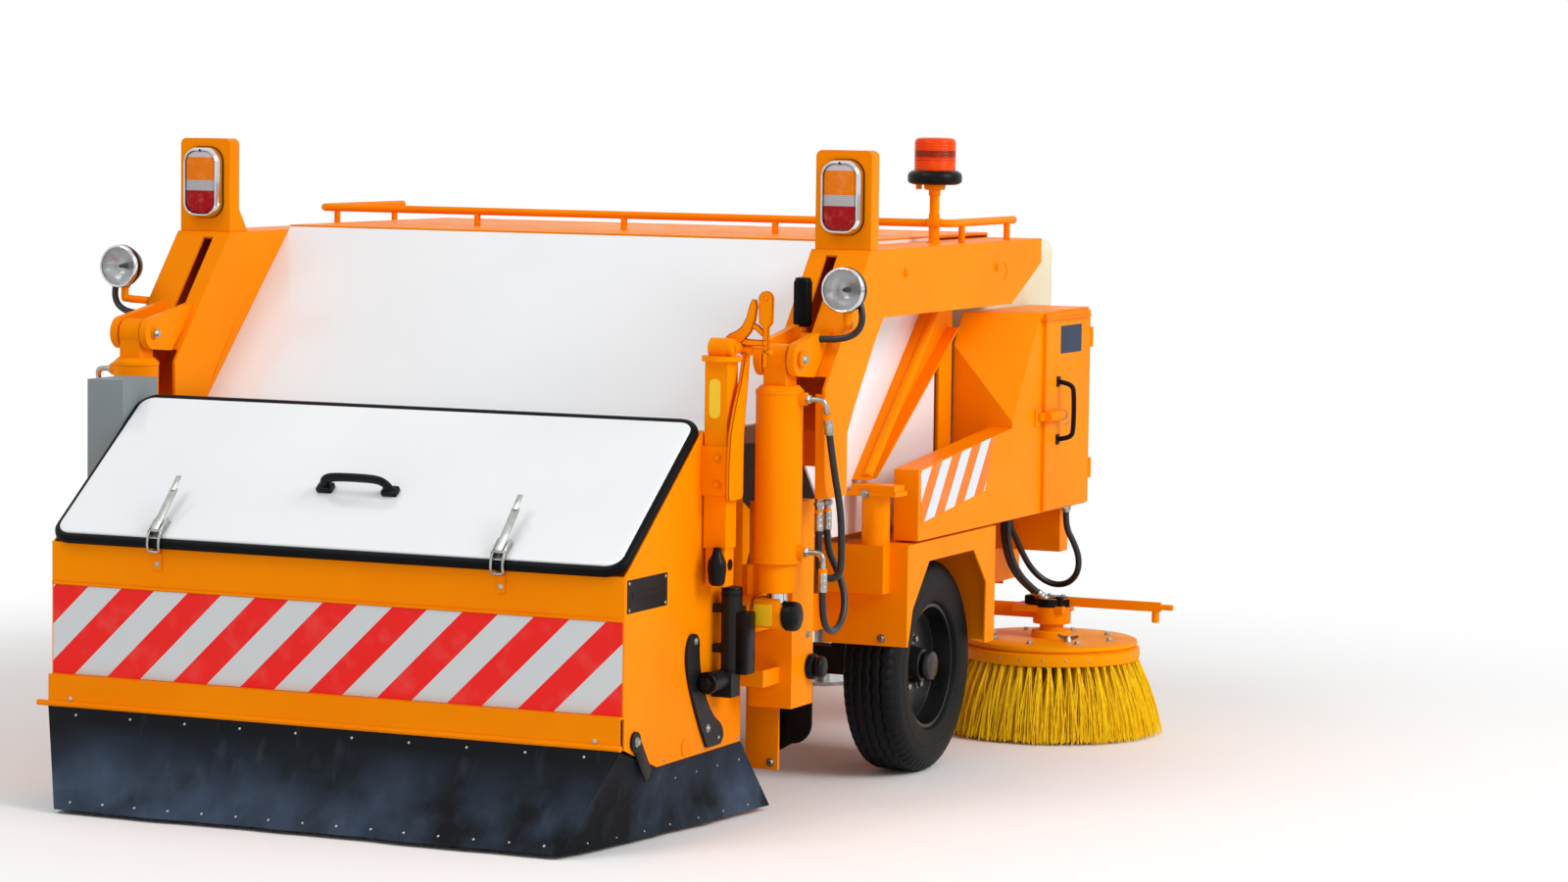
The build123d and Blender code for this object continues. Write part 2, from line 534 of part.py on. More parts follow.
# ---------------------------------------------------------------- wheels, fenders
half_w = TYRE_W / 2
tyre_mid_x = TYRE_OUT_X - half_w
shoulder = 34
tyre_profile = [(-half_w + 22, RIM_R - 8), (-half_w + 4, RIM_R + 18), (-half_w, RIM_R + 66),
                (-half_w + 10, TYRE_R - shoulder), (-half_w + 30, TYRE_R - 9), (-half_w + 62, TYRE_R),
                (half_w - 62, TYRE_R), (half_w - 30, TYRE_R - 9), (half_w - 10, TYRE_R - shoulder),
                (half_w, RIM_R + 66), (half_w - 4, RIM_R + 18), (half_w - 22, RIM_R - 8)]
tyre = Pos(tyre_mid_x, 0, 0) * turned_x(tyre_profile, WHEEL_Y, TYRE_R)
rim_lip = RIM_R - 8.3
rim_inner = rim_lip - 12
disc_x = half_w - RIM_DISH
rim_profile = [(-half_w + 20, rim_lip), (half_w - 20, rim_lip), (half_w - 20, rim_inner),
               (disc_x + 9, rim_inner - 10), (disc_x + 9, HUB_R), (disc_x + HUB_PROUD + 40, HUB_R - 8),
               (disc_x + HUB_PROUD + 52, 30), (disc_x + HUB_PROUD + 52, 0), (disc_x + HUB_PROUD + 44, 0),
               (disc_x + HUB_PROUD + 44, STUB_R + RUN_GAP), (disc_x - 60, STUB_R + RUN_GAP),
               (disc_x - 60, HUB_R), (disc_x, HUB_R), (disc_x, rim_inner - 10), (-half_w + 20, rim_inner)]
rim = Pos(tyre_mid_x, 0, 0) * turned_x(rim_profile, WHEEL_Y, TYRE_R)
both_sides("tyre", tyre)
both_sides("rim", rim)

fender_in_x = RAIL_OUT_X
arch = [(FENDER_REAR_Y - 1, FENDER_LOW_Z - 300), (FENDER_REAR_Y + 12, FENDER_LOW_Z), (1545, 575),
        (1680, 718), (2070, 718), (2185, 600), (2170, FENDER_LOW_Z - 300)]
fender = block(fender_in_x, HALF_WIDTH, FENDER_REAR_Y, FENDER_FRONT_Y, FENDER_LOW_Z - 60, FENDER_TOP_Z)
fender -= block(fender_in_x - 1, HALF_WIDTH - SHEET, FENDER_REAR_Y + SHEET, FENDER_FRONT_Y - SHEET,
                FENDER_LOW_Z - 61, FENDER_TOP_Z - SHEET)
fender -= plate_x(arch, HALF_WIDTH - SHEET - 1, HALF_WIDTH + 1)
fender -= block(fender_in_x - 1, HALF_WIDTH + 1, FENDER_REAR_Y - 1, FENDER_REAR_Y + SHEET + 6,
                FENDER_LOW_Z - 61, FENDER_LOW_Z)
both_sides("fender", fender)

# rest post and hose box behind the fender
REST_X = CYL_X
REST_R = 45
REST_BOX_IN_X = REST_X - 174
REST_BOX_OUT_X = REST_X + 48
REST_BOX_REAR_Y = 1440
REST_BOX_LOW_Z = 628
REST_TOP_Z = 940
SADDLE_LEN = 100
SADDLE_LOW_THICK = 15
SADDLE_TOP_THICK = 20
saddle_z = REST_TOP_Z + SADDLE_LOW_THICK
rest = block(REST_BOX_IN_X, REST_BOX_OUT_X, REST_BOX_REAR_Y, FENDER_REAR_Y, REST_BOX_LOW_Z, FENDER_TOP_Z)
rest += rod_z(REST_X, REST_BOX_REAR_Y + SADDLE_LEN / 2, REST_R, FENDER_TOP_Z, REST_TOP_Z)
rest += block(REST_X - 78, REST_X + 87, REST_BOX_REAR_Y, REST_BOX_REAR_Y + SADDLE_LEN, REST_TOP_Z, saddle_z)
rest += block(REST_X - 70, REST_X + 80, REST_BOX_REAR_Y + 8, REST_BOX_REAR_Y + SADDLE_LEN - 8,
              saddle_z, saddle_z + SADDLE_TOP_THICK)
pair("rest_posts", rest)

# ---------------------------------------------------------------- side boxes and cabinets
side_box = plate_x([(BOX_REAR_Y, BOX_LOW_Z), (BOX_REAR_Y, BOX_REAR_TOP_Z), (CABINET_REAR_Y, BOX_FRONT_TOP_Z),
                    (CABINET_REAR_Y, BOX_LOW_Z)], BOX_IN_X, HALF_WIDTH)
side_box += block(BOX_IN_X, HALF_WIDTH - 40, BOX_REAR_Y + 40, FENDER_FRONT_Y, FENDER_TOP_Z, BOX_LOW_Z)
pair("side_boxes", side_box)

cab_low = BOX_LOW_Z
cabinet = block(CABINET_IN_X, HALF_WIDTH, CABINET_REAR_Y, CABINET_FRONT_Y, cab_low, CABINET_TOP_Z)
crease_low = Vector(HALF_WIDTH, CABINET_REAR_Y, CABINET_CREASE_Z)
crease_top = Vector(HALF_WIDTH, CABINET_CREASE_Y, CABINET_TOP_Z)
inner_top = Vector(CABINET_IN_X, CABINET_REAR_Y + 75, CABINET_TOP_Z)
facet_normal = (crease_top - crease_low).cross(inner_top - crease_low).normalized()
facet = Plane(origin=crease_low, z_dir=facet_normal)
keep_side = Keep.TOP if facet.to_local_coords(Vector(HALF_WIDTH, CABINET_FRONT_Y, cab_low)).Z > 0 else Keep.BOTTOM
cabinet = split(cabinet, bisect_by=facet, keep=keep_side)
hollow = block(CABINET_IN_X + SHEET, HALF_WIDTH - SHEET, CABINET_REAR_Y + SHEET, CABINET_FRONT_Y - SHEET,
               cab_low + SHEET, CABINET_TOP_Z - SHEET)
inner_facet = facet.offset(SHEET if keep_side == Keep.TOP else -SHEET)
cabinet -= split(hollow, bisect_by=inner_facet, keep=keep_side)
door_opening = block(HALF_WIDTH - SHEET - 1, HALF_WIDTH + 1, DOOR_REAR_Y + DOOR_MARGIN,
                     CABINET_FRONT_Y - DOOR_MARGIN - 6, cab_low + DOOR_MARGIN, CABINET_TOP_Z - DOOR_MARGIN)
GLAND_PLACES = ((1059, 2829), (1087, 2798), (1225, 3005), (1058, 2895))
GLAND_DROP = 24
cabinet_right = cabinet - door_opening
for gland_x, gland_y in GLAND_PLACES:
    cabinet_right += rod_z(gland_x, gland_y, CRIMP_R, cab_low - GLAND_DROP, cab_low + SHEET)
write("cabinet_right", cabinet_right)
write("cabinet_left", mirrored(cabinet))

door_x = HALF_WIDTH + SEAT_GAP
door_hinge_y = CABINET_FRONT_Y - 2
door_hinge_x = door_x + DOOR_HINGE_R
door = block(door_x, door_x + DOOR_THICK, DOOR_REAR_Y, door_hinge_y - DOOR_HINGE_R - 3, cab_low + 6,
             CABINET_TOP_Z - 8)
for hinge_z in (880, 1340):
    door += rod_z(door_hinge_x, door_hinge_y, DOOR_HINGE_R, hinge_z, hinge_z + 70)
    door += block(door_x, door_x + 8, door_hinge_y - 30, door_hinge_y, hinge_z, hinge_z + 70)
write("cabinet_door", door)
grip_y = DOOR_REAR_Y + 120
GRIP_R = 12
GRIP_STAND = 42
GRIP_LOW_Z = CABINET_TOP_Z - 450
GRIP_HIGH_Z = CABINET_TOP_Z - 230
grip_x = door_x + DOOR_THICK + GRIP_STAND
grip = rod_z(grip_x, grip_y, GRIP_R, GRIP_LOW_Z - GRIP_R, GRIP_HIGH_Z + GRIP_R)
for grip_z in (GRIP_LOW_Z, GRIP_HIGH_Z):
    grip += rod_x(grip_y, grip_z, GRIP_R - 1, door_x + DOOR_THICK, grip_x)
write("door_handle", grip)

# clean-water tank and front bulkhead across the frame
TANK_GAP = 14
TANK_HALF = CABINET_IN_X - TANK_GAP
TANK_REAR_Y = 2760
TANK_LENGTH = 640
TANK_FRONT_Y = TANK_REAR_Y + TANK_LENGTH
TANK_TOP_Z = 1705
tank = block(-TANK_HALF, TANK_HALF, TANK_REAR_Y, TANK_FRONT_Y, BOX_LOW_Z - SEAT_GAP + 20, TANK_TOP_Z)
tank = fillet(tank.edges(), 40)
tank += rod_z(-TANK_HALF + 250, TANK_REAR_Y + 240, 90, TANK_TOP_Z - 20, TANK_TOP_Z + 24)
write("water_tank", tank)
cradle = block(-TANK_HALF, TANK_HALF, TANK_REAR_Y, TANK_FRONT_Y, BOX_LOW_Z - SEAT_GAP, BOX_LOW_Z - SEAT_GAP + 20)
for side in (1, -1):
    cradle += block(side * RAIL_OUT_X, side * (RAIL_OUT_X - 90), TANK_REAR_Y, TANK_REAR_Y + 90, RAIL_TOP_Z,
                    BOX_LOW_Z - SEAT_GAP)
    cradle += block(side * TANK_HALF, side * CABINET_IN_X, TANK_REAR_Y + 40, CABINET_FRONT_Y - 40,
                    BOX_LOW_Z - SEAT_GAP, BOX_LOW_Z - SEAT_GAP + 20)
write("tank_cradle", cradle)

# grey valve box on the hood's left flank
VALVE_DEPTH = 130
VALVE_REAR_Y = 395
VALVE_FRONT_Y = 600
VALVE_LOW_Z = 700
VALVE_TOP_Z = 1285
valve_box = block(-HOOD_HALF, -HOOD_HALF - VALVE_DEPTH, VALVE_REAR_Y, VALVE_FRONT_Y, VALVE_LOW_Z, VALVE_TOP_Z)
write("valve_box", valve_box)

# safety prop on the hood's right flank
PROP_X = HOOD_HALF + 42
PROP_Y = 560
PROP_SIDE = 74
PROP_LOW_Z = 850
PROP_TOP_Z = 1420
PROP_SHOE_LEN = 110
PROP_CLAMP_LOW_Z = 1010
PROP_CLAMP_TOP_Z = 1160
PROP_CAP_R = 60
PROP_EYE_R = 32
prop_half = PROP_SIDE / 2
prop = block(PROP_X - prop_half, PROP_X + prop_half, PROP_Y - prop_half, PROP_Y + prop_half,
             PROP_LOW_Z, PROP_TOP_Z)
prop += block(HOOD_HALF, PROP_X + prop_half + 7, PROP_Y - prop_half - 8, PROP_Y + prop_half + 8,
              PROP_CLAMP_LOW_Z, PROP_CLAMP_TOP_Z)
prop += rod_z(PROP_X, PROP_Y, 22, PROP_LOW_Z - PROP_SHOE_LEN, PROP_LOW_Z)
prop += rod_x(PROP_Y, PROP_TOP_Z + PROP_EYE_R - 2, PROP_EYE_R, PROP_X - PROP_EYE_R, PROP_X + 24)
prop += rod_z(PROP_X, PROP_Y, PROP_CAP_R, PROP_TOP_Z - 8, PROP_TOP_Z + 8)
write("safety_prop", prop)

# actuator that sets the brush height: motor tube, gearbox, shaft and the bent lever
ACT_X = HOOD_HALF + 56
ACT_Y = 625
ACT_R = 32
ACT_LOW_Z = 466
ACT_TOP_Z = 718
GEAR_DEPTH = 66
GEAR_LOW_Z = 392
SHAFT_Z = 447
SHAFT_R = 30
LEVER_THICK = 10
lever_x = HOOD_HALF + SEAT_GAP
gear_in_x = lever_x + LEVER_THICK / 2
actuator = rod_z(ACT_X, ACT_Y, ACT_R, ACT_LOW_Z, ACT_TOP_Z)
actuator += block(ACT_X, ACT_X + ACT_R, ACT_Y, ACT_Y + ACT_R, ACT_LOW_Z + 14, ACT_TOP_Z - 50)
actuator += block(gear_in_x, gear_in_x + GEAR_DEPTH, ACT_Y - ACT_R, ACT_Y + ACT_R, GEAR_LOW_Z, ACT_LOW_Z)
actuator += rod_y(gear_in_x + SHAFT_R, SHAFT_Z, SHAFT_R, ACT_Y - 115, ACT_Y - ACT_R)
for clamp_z in (ACT_LOW_Z + 60, ACT_TOP_Z - 70):
    actuator += block(lever_x, ACT_X, ACT_Y - 20, ACT_Y + 20, clamp_z, clamp_z + 24)
lever_outline = Spline((497, 555), (480, 592), (446, 596), (418, 564), (423, 475), (460, 396), (518, 300),
                       (554, 250))
lever_outline += Polyline((554, 250), (560, 241), (655, 241), (673, 258))
lever_outline += Spline((673, 258), (662, 296), (622, 322), (557, 384), (513, 464), (497, 555))
lever = Pos(lever_x, 0, 0) * extrude(make_face(Plane.YZ * lever_outline), LEVER_THICK, dir=(1, 0, 0))
write("brush_actuator", actuator + lever)

# ---------------------------------------------------------------- lift arms and hopper
TOE_WALL_Z = 1070          # the arm's front wall ends here and leaves its toe open to the front
arm_outline = [(ARM_FRONT_Y, ARM_TOP_Z), (ARM_BEND_Y, ARM_TOP_Z), (ARM_HEEL_Y, ARM_HEEL_Z),
               (ARM_HEEL_Y + 7, ARM_TOE_Z), (ARM_TOE_FRONT_Y, ARM_TOE_Z), (ARM_TOE_FRONT_Y, 1177),
               (1050, 1261), (1201, 1450), (1268, ARM_LOW_Z), (2375, ARM_LOW_Z),
               (ARM_FRONT_Y, ARM_TOP_Z - 82)]
arm_core = [(ARM_FRONT_Y + 1, ARM_TOP_Z - PLATE), (ARM_BEND_Y + 5, ARM_TOP_Z - PLATE),
            (ARM_HEEL_Y + 47, ARM_OPEN_Z - PLATE), (ARM_HEEL_Y - 20, ARM_OPEN_Z - PLATE),
            (ARM_HEEL_Y - 20, ARM_TOE_Z - 10), (ARM_TOE_FRONT_Y + 1, ARM_TOE_Z - 10),
            (ARM_TOE_FRONT_Y + 1, TOE_WALL_Z), (ARM_TOE_FRONT_Y - PLATE, TOE_WALL_Z),
            (ARM_TOE_FRONT_Y - PLATE, 1180), (1042, 1268), (1193, 1457), (1264, ARM_LOW_Z + PLATE),
            (2372, ARM_LOW_Z + PLATE), (ARM_FRONT_Y + 1, ARM_TOP_Z - 82 + PLATE)]
arm = plate_x(arm_outline, ARM_IN_X, HALF_WIDTH)
arm -= plate_x(arm_core, ARM_IN_X + PLATE, HALF_WIDTH - PLATE)
slot_x = (ARM_IN_X + HALF_WIDTH) / 2 - 25
slope = math.degrees(math.atan2(ARM_TOP_Z - ARM_HEEL_Z, ARM_BEND_Y - ARM_HEEL_Y))
slot = Pos(slot_x, (ARM_HEEL_Y + ARM_BEND_Y) / 2 + 60, (ARM_HEEL_Z + ARM_TOP_Z) / 2 + 74) * Rot(slope, 0, 0)
arm -= slot * Box(SLOT_W, 300, 60)
arm -= rod_x(HINGE_Y, HINGE_Z, HINGE_PIN_R + RUN_GAP, ARM_IN_X - 1, HALF_WIDTH + 1)
arm += plate_x([(ARM_HEEL_Y + 2, ARM_OPEN_Z - 60), (ARM_HEEL_Y + 7, ARM_TOE_Z), (ARM_TOE_FRONT_Y, ARM_TOE_Z),
                (ARM_TOE_FRONT_Y, ARM_TOE_Z + PLATE), (ARM_HEEL_Y + 7 + PLATE, ARM_TOE_Z + PLATE),
                (ARM_HEEL_Y + 2 + PLATE, ARM_OPEN_Z - 60)], HALF_WIDTH - FLANGE_W, HALF_WIDTH - 1)
for fitting_y in FITTING_YS:
    arm += rod_z(FITTING_X, fitting_y, CRIMP_R, FITTING_LOW_Z, FITTING_LOW_Z + 62)
    arm += rod_z(FITTING_X, fitting_y, CRIMP_R - 3, FITTING_LOW_Z + 62, ARM_TOE_Z + 30)
ear_outline = [(ARM_HEEL_Y + 20, CYL_TOP_Z - 60), (CYL_Y, CYL_TOP_Z - EAR_R), (CYL_Y, CYL_TOP_Z + EAR_R),
               (ARM_HEEL_Y + 170, CYL_TOP_Z + 95)]
ear_in = CYL_X - CYL_EYE_W / 2 - 6
ear_out = CYL_X + CYL_EYE_W / 2 + 6
for ear_x0, ear_x1 in ((ear_in - EAR_THICK, ear_in), (ear_out, ear_out + EAR_THICK)):
    arm += plate_x(ear_outline, ear_x0, ear_x1)
    arm += rod_x(CYL_Y, CYL_TOP_Z, EAR_R, ear_x0, ear_x1)
arm += rod_x(CYL_Y, CYL_TOP_Z, CYL_PIN_R, ear_in - EAR_THICK - 6, ear_out + EAR_THICK + 10)
both_sides("arm", arm)

hopper_side = [(HOPPER_REAR_Y, HOPPER_REAR_Z), (HOPPER_CREST_Y, HOPPER_TOP_Z), (HOPPER_FRONT_Y, HOPPER_TOP_Z),
               (HOPPER_FRONT_Y, HOPPER_LOW_Z), (HOPPER_MOUTH_Y, HOPPER_LOW_Z)]
w = HOPPER_WALL
hopper_core = [(HOPPER_REAR_Y + 60, HOPPER_REAR_Z - 70), (HOPPER_REAR_Y + 12, HOPPER_REAR_Z + 0.7),
               (HOPPER_CREST_Y + 4, HOPPER_TOP_Z - w), (HOPPER_FRONT_Y - w, HOPPER_TOP_Z - w),
               (HOPPER_FRONT_Y - w, HOPPER_LOW_Z + w), (HOPPER_MOUTH_Y - 40, HOPPER_LOW_Z + w)]
hopper = plate_x(hopper_side, -ARM_IN_X, ARM_IN_X) - plate_x(hopper_core, -ARM_IN_X + w, ARM_IN_X - w)
write("hopper_shell", hopper)

roof_half = ARM_IN_X
roof = block(-roof_half, roof_half, HOPPER_CREST_Y, ROOF_FRONT_Y, HOPPER_TOP_Z, HOPPER_TOP_Z + SHEET)
roof += block(-roof_half, roof_half, ROOF_FRONT_Y - SHEET, ROOF_FRONT_Y, HOPPER_TOP_Z - 60, HOPPER_TOP_Z)
roof += block(-roof_half, roof_half, HOPPER_FRONT_Y, ROOF_FRONT_Y, HOPPER_TOP_Z - 3, HOPPER_TOP_Z)
write("hopper_roof", roof)

BRACE_LOW_Z = 985
BRACE_LOW_Y = 1500
BRACE_TOP_Y = 2080
BRACE_LOW_W = 90
BRACE_TOP_W = 250
BRACE_REAR_FLANGE = 60
BRACE_FRONT_FLANGE = 50
FLANGE_THICK = 12
knee_y = BRACE_TOP_Y + BRACE_TOP_W - 40
knee_z = ARM_LOW_Z - 80
brace_low_front = BRACE_LOW_Y + BRACE_LOW_W
brace = plate_x([(BRACE_LOW_Y, BRACE_LOW_Z), (brace_low_front, BRACE_LOW_Z), (knee_y, knee_z),
                 (BRACE_TOP_Y + BRACE_TOP_W, ARM_LOW_Z), (BRACE_TOP_Y, ARM_LOW_Z)], ARM_IN_X, ARM_IN_X + SHEET)
brace += plate_x([(BRACE_LOW_Y, BRACE_LOW_Z), (BRACE_LOW_Y + FLANGE_THICK, BRACE_LOW_Z),
                  (BRACE_TOP_Y + FLANGE_THICK + 4, ARM_LOW_Z), (BRACE_TOP_Y, ARM_LOW_Z)],
                 ARM_IN_X, ARM_IN_X + BRACE_REAR_FLANGE)
brace += plate_x([(brace_low_front - FLANGE_THICK - 2, BRACE_LOW_Z), (brace_low_front, BRACE_LOW_Z),
                  (knee_y, knee_z), (knee_y - FLANGE_THICK - 2, knee_z)], ARM_IN_X, ARM_IN_X + BRACE_FRONT_FLANGE)
pair("side_braces", brace)

RAIL_TUBE_R = 13
RAIL_Z = 1796
RAIL_Y = 1970
rail_front_y = 2560
rail_half = HALF_WIDTH - 70
RAIL_BEND = 45
rail_path = FilletPolyline((-rail_half, rail_front_y, RAIL_Z), (-rail_half, RAIL_Y, RAIL_Z),
                           (rail_half, RAIL_Y, RAIL_Z), (rail_half, rail_front_y, RAIL_Z), radius=RAIL_BEND)
top_rail = tube_along(rail_path, RAIL_TUBE_R)
for rail_x in (-rail_half, rail_half):
    for stub_y in (RAIL_Y + 120, rail_front_y - 60):
        top_rail += rod_z(rail_x, stub_y, RAIL_TUBE_R - 2, ARM_TOP_Z, RAIL_Z)
for stub_x in (-560, 0, 560):
    top_rail += rod_z(stub_x, RAIL_Y, RAIL_TUBE_R - 2, HOPPER_TOP_Z + SHEET, RAIL_Z)
write("top_rail", top_rail)

# upright lamp housings at the arms' bends, each with a combination lamp
LAMP_W = 188
LAMP_Y = 1165
LAMP_DEPTH = 60
LAMP_TOP_Z = 2040
lamp_x0 = HALF_WIDTH - 4 - LAMP_W
lamp_box = block(lamp_x0, lamp_x0 + LAMP_W, LAMP_Y, LAMP_Y + LAMP_DEPTH, ARM_TOP_Z, LAMP_TOP_Z)
top_edges = lamp_box.edges().filter_by(Axis.Y).group_by(Axis.Z)[-1]
lamp_box = fillet(top_edges, 20)
lamp_box += plate_x([(LAMP_Y + LAMP_DEPTH, ARM_TOP_Z), (LAMP_Y + LAMP_DEPTH, ARM_TOP_Z + 75),
                     (LAMP_Y + LAMP_DEPTH + 55, ARM_TOP_Z)], lamp_x0, lamp_x0 + SHEET)
pair("lamp_housings", lamp_box)
lamp_z = 1895
lamp_x = lamp_x0 + LAMP_W / 2
lens_face = Pos(lamp_x, LAMP_Y, lamp_z) * Rot(90, 0, 0) * RectangleRounded(136, 232, 66)
lamp = extrude(lens_face, 38, dir=(0, -1, 0))
write("tail_lamps", lamp, mirrored(lamp))

WORK_X = HALF_WIDTH + 38
WORK_Y = 850
WORK_Z = 1622
WORK_R = 70
work_lamp = rod_y(WORK_X, WORK_Z, WORK_R, WORK_Y, WORK_Y + 30)
work_lamp += Pos(WORK_X, WORK_Y + 62, WORK_Z) * Rot(90, 0, 0) * Cone(WORK_R, 30, 64)
bracket = bar_between((WORK_X, WORK_Y + 40, WORK_Z - 60), (WORK_X, WORK_Y + 40, WORK_Z - 105), 12)
bracket += bar_between((WORK_X + 4, WORK_Y + 36, WORK_Z - 100),
                       (HALF_WIDTH + 12 + SEAT_GAP, WORK_Y + 150, WORK_Z - 118), 12)
write("work_lamps", work_lamp + bracket, mirrored(work_lamp + bracket))

BEACON_X = rail_half - 50
beacon = rod_z(BEACON_X, RAIL_Y, 15, RAIL_Z + RAIL_TUBE_R + SEAT_GAP, 1916)
beacon += rod_z(BEACON_X, RAIL_Y, 90, 1916, 1956)
beacon += rod_z(BEACON_X, RAIL_Y, 70, 1956, 2076)
beacon += rod_z(BEACON_X, RAIL_Y, 24, RAIL_Z + RAIL_TUBE_R + SEAT_GAP, RAIL_Z + RAIL_TUBE_R + 8)
write("beacon", beacon)

# ---------------------------------------------------------------- lift cylinders
eye_half = CYL_EYE_W / 2
barrel = rod_z(CYL_X, CYL_Y, BARREL_R, BARREL_LOW_Z, BARREL_TOP_Z)
barrel = chamfer(barrel.edges().group_by(Axis.Z)[-1], BARREL_CHAMFER)
barrel += rod_x(CYL_Y, CYL_TOP_Z, EYE_R + 6, CYL_X - eye_half, CYL_X + eye_half)
barrel += block(CYL_X - eye_half, CYL_X + eye_half, CYL_Y - EYE_R, CYL_Y + EYE_R, BARREL_TOP_Z, CYL_TOP_Z)
barrel -= rod_x(CYL_Y, CYL_TOP_Z, CYL_PIN_R + RUN_GAP, CYL_X - 60, CYL_X + 60)
barrel -= rod_z(CYL_X, CYL_Y, STAGE_R + SEAT_GAP, BARREL_LOW_Z - 1, BARREL_TOP_Z - 20)
port_end_x = CYL_X + BARREL_R + PORT_LEN
UPPER_CRIMP_TOP = (CYL_Y + 15, UPPER_PORT_Z - 43)
UPPER_CRIMP_LOW = (CYL_Y + 36, UPPER_PORT_Z - 105)
crimp_ends = []
for port_z, crimp_top, crimp_low in ((UPPER_PORT_Z, UPPER_CRIMP_TOP, UPPER_CRIMP_LOW),
                                     (LOWER_PORT_Z, (CYL_Y, LOWER_PORT_Z - 48), (CYL_Y, LOWER_PORT_Z - 118))):
    barrel += rod_x(CYL_Y, port_z, PORT_R, port_end_x - PORT_LEN - 8, port_end_x)
    elbow = FilletPolyline((port_end_x - 4, CYL_Y, port_z), (HOSE_OUT_X, CYL_Y, port_z),
                           (HOSE_OUT_X, *crimp_top), radius=PIPE_BEND)
    barrel += tube_along(elbow, PIPE_R)
    barrel += bar_between((HOSE_OUT_X, *crimp_top), (HOSE_OUT_X, *crimp_low), CRIMP_R)
    crimp_ends.append((HOSE_OUT_X, *crimp_low))
both_sides("lift_barrel", barrel)
stage = rod_z(CYL_X, CYL_Y, STAGE_R, BARREL_LOW_Z - 2, BARREL_TOP_Z - 26)
stage += rod_z(CYL_X, CYL_Y, GLAND_R, BARREL_LOW_Z - GLAND_LEN, BARREL_LOW_Z - SEAT_GAP)
stage -= rod_z(CYL_X, CYL_Y, ROD_R + SEAT_GAP, BARREL_LOW_Z - GLAND_LEN - 1, BARREL_TOP_Z - 40)
both_sides("lift_stage", stage)
rod = rod_z(CYL_X, CYL_Y, ROD_R, CYL_LOW_Z, BARREL_TOP_Z - 46)
rod += rod_x(CYL_Y, CYL_LOW_Z, EYE_R, LUG_IN_X + LUG_THICK + 5, CYL_X + 26)
rod += block(CYL_X - 60, CYL_X + 20, CYL_Y - 34, CYL_Y + 34, CYL_LOW_Z, CYL_LOW_Z + 54)
rod += rod_x(CYL_Y, CYL_LOW_Z, CYL_PIN_R, CYL_X, CYL_X + 44)
rod += rod_x(CYL_Y, CYL_LOW_Z, 36, CYL_X + 40, CYL_X + 66)
both_sides("lift_rod", rod)

# lift hoses: each hangs in a loop from a crimp on the barrel to a fitting under the arm's toe
def beside_arm(*places):
    """Points given as (distance outside the arm's outer face, Y, Z)."""
    return [(HALF_WIDTH + out, y, z) for out, y, z in places]


UPPER_HOSE = [crimp_ends[0], *beside_arm((40, 804, 1067), (39, 845, 985), (39, 866, 905), (41, 864, 815),
                                         (40, 862, 762), (21, 855, 742), (-5, 845, 742), (-24, 838, 762)),
              (FITTING_X, FITTING_YS[0], FITTING_LOW_Z)]
LOWER_HOSE = [(FITTING_X, FITTING_YS[1], FITTING_LOW_Z),
              *beside_arm((-24, 902, 830), (-2, 925, 768), (22, 930, 705), (34, 912, 648), (38, 872, 602),
                          (38, 812, 582), (38, 757, 603), (40, 726, 655)), crimp_ends[1]]
both_sides("hose_lift", hose(UPPER_HOSE, HOSE_R), hose(LOWER_HOSE, HOSE_R))

# ---------------------------------------------------------------- side broom
arm_y = BROOM_Y
MOTOR_R = 66
MOTOR_TALL = 150
MOTOR_PORTS = ((-50, -52), (-28, -70))     # ends of the motor's two ports, from the broom's axis
MOTOR_PORT_RISE = 22
MOTOR_PORT_BACK = (45, 40, -47)            # the way from a port's end back into the motor
BAR_REACH = 400
BAR_TALL = 32
BAR_THICK = 18
broom_arm = rod_y(BROOM_PIVOT_X, BROOM_PIVOT_Z, 30, arm_y - 80, arm_y + 80)
broom_arm -= rod_y(BROOM_PIVOT_X, BROOM_PIVOT_Z, 14 + RUN_GAP, arm_y - 81, arm_y + 81)
broom_arm += rod_x(arm_y, BROOM_PIVOT_Z, 26, BROOM_PIVOT_X + 28, BROOM_X - 60)
motor_top_z = BROOM_DISC_Z + MOTOR_TALL
plate_z = BROOM_DISC_Z + 100
broom_arm += rod_z(BROOM_X, BROOM_Y, MOTOR_R, BROOM_DISC_Z + 60, motor_top_z)
broom_arm += block(BROOM_X - 130, BROOM_X + 60, BROOM_Y - 60, BROOM_Y + 60, plate_z, plate_z + 24)
broom_arm += block(BROOM_X + 50, BROOM_X + BAR_REACH, arm_y - BAR_THICK / 2, arm_y + BAR_THICK / 2,
                   plate_z + 22, plate_z + 22 + BAR_TALL)
broom_arm += rod_z(BROOM_X + BAR_REACH - BAR_THICK, arm_y, BAR_THICK / 2 + 4, plate_z - 16, plate_z + 22)
broom_arm += rod_x(arm_y, plate_z + 22 + BAR_TALL / 2, BAR_TALL / 2 - 6,
                   BROOM_X + BAR_REACH, BROOM_X + BAR_REACH + 44)
motor_ends = []
for port_x, port_y in MOTOR_PORTS:
    port_end = (BROOM_X + port_x, BROOM_Y + port_y, motor_top_z + MOTOR_PORT_RISE)
    broom_arm += bar_between(port_end, [place + back for place, back in zip(port_end, MOTOR_PORT_BACK)], CRIMP_R)
    motor_ends.append(port_end)
write("broom_arm", broom_arm)
hanger = block(BROOM_PIVOT_X - 46, rail_in_x, arm_y - 110, arm_y - 84, BROOM_PIVOT_Z - 40, RAIL_TOP_Z - 20)
hanger += block(BROOM_PIVOT_X - 46, rail_in_x, arm_y + 84, arm_y + 110, BROOM_PIVOT_Z - 40, RAIL_TOP_Z - 20)
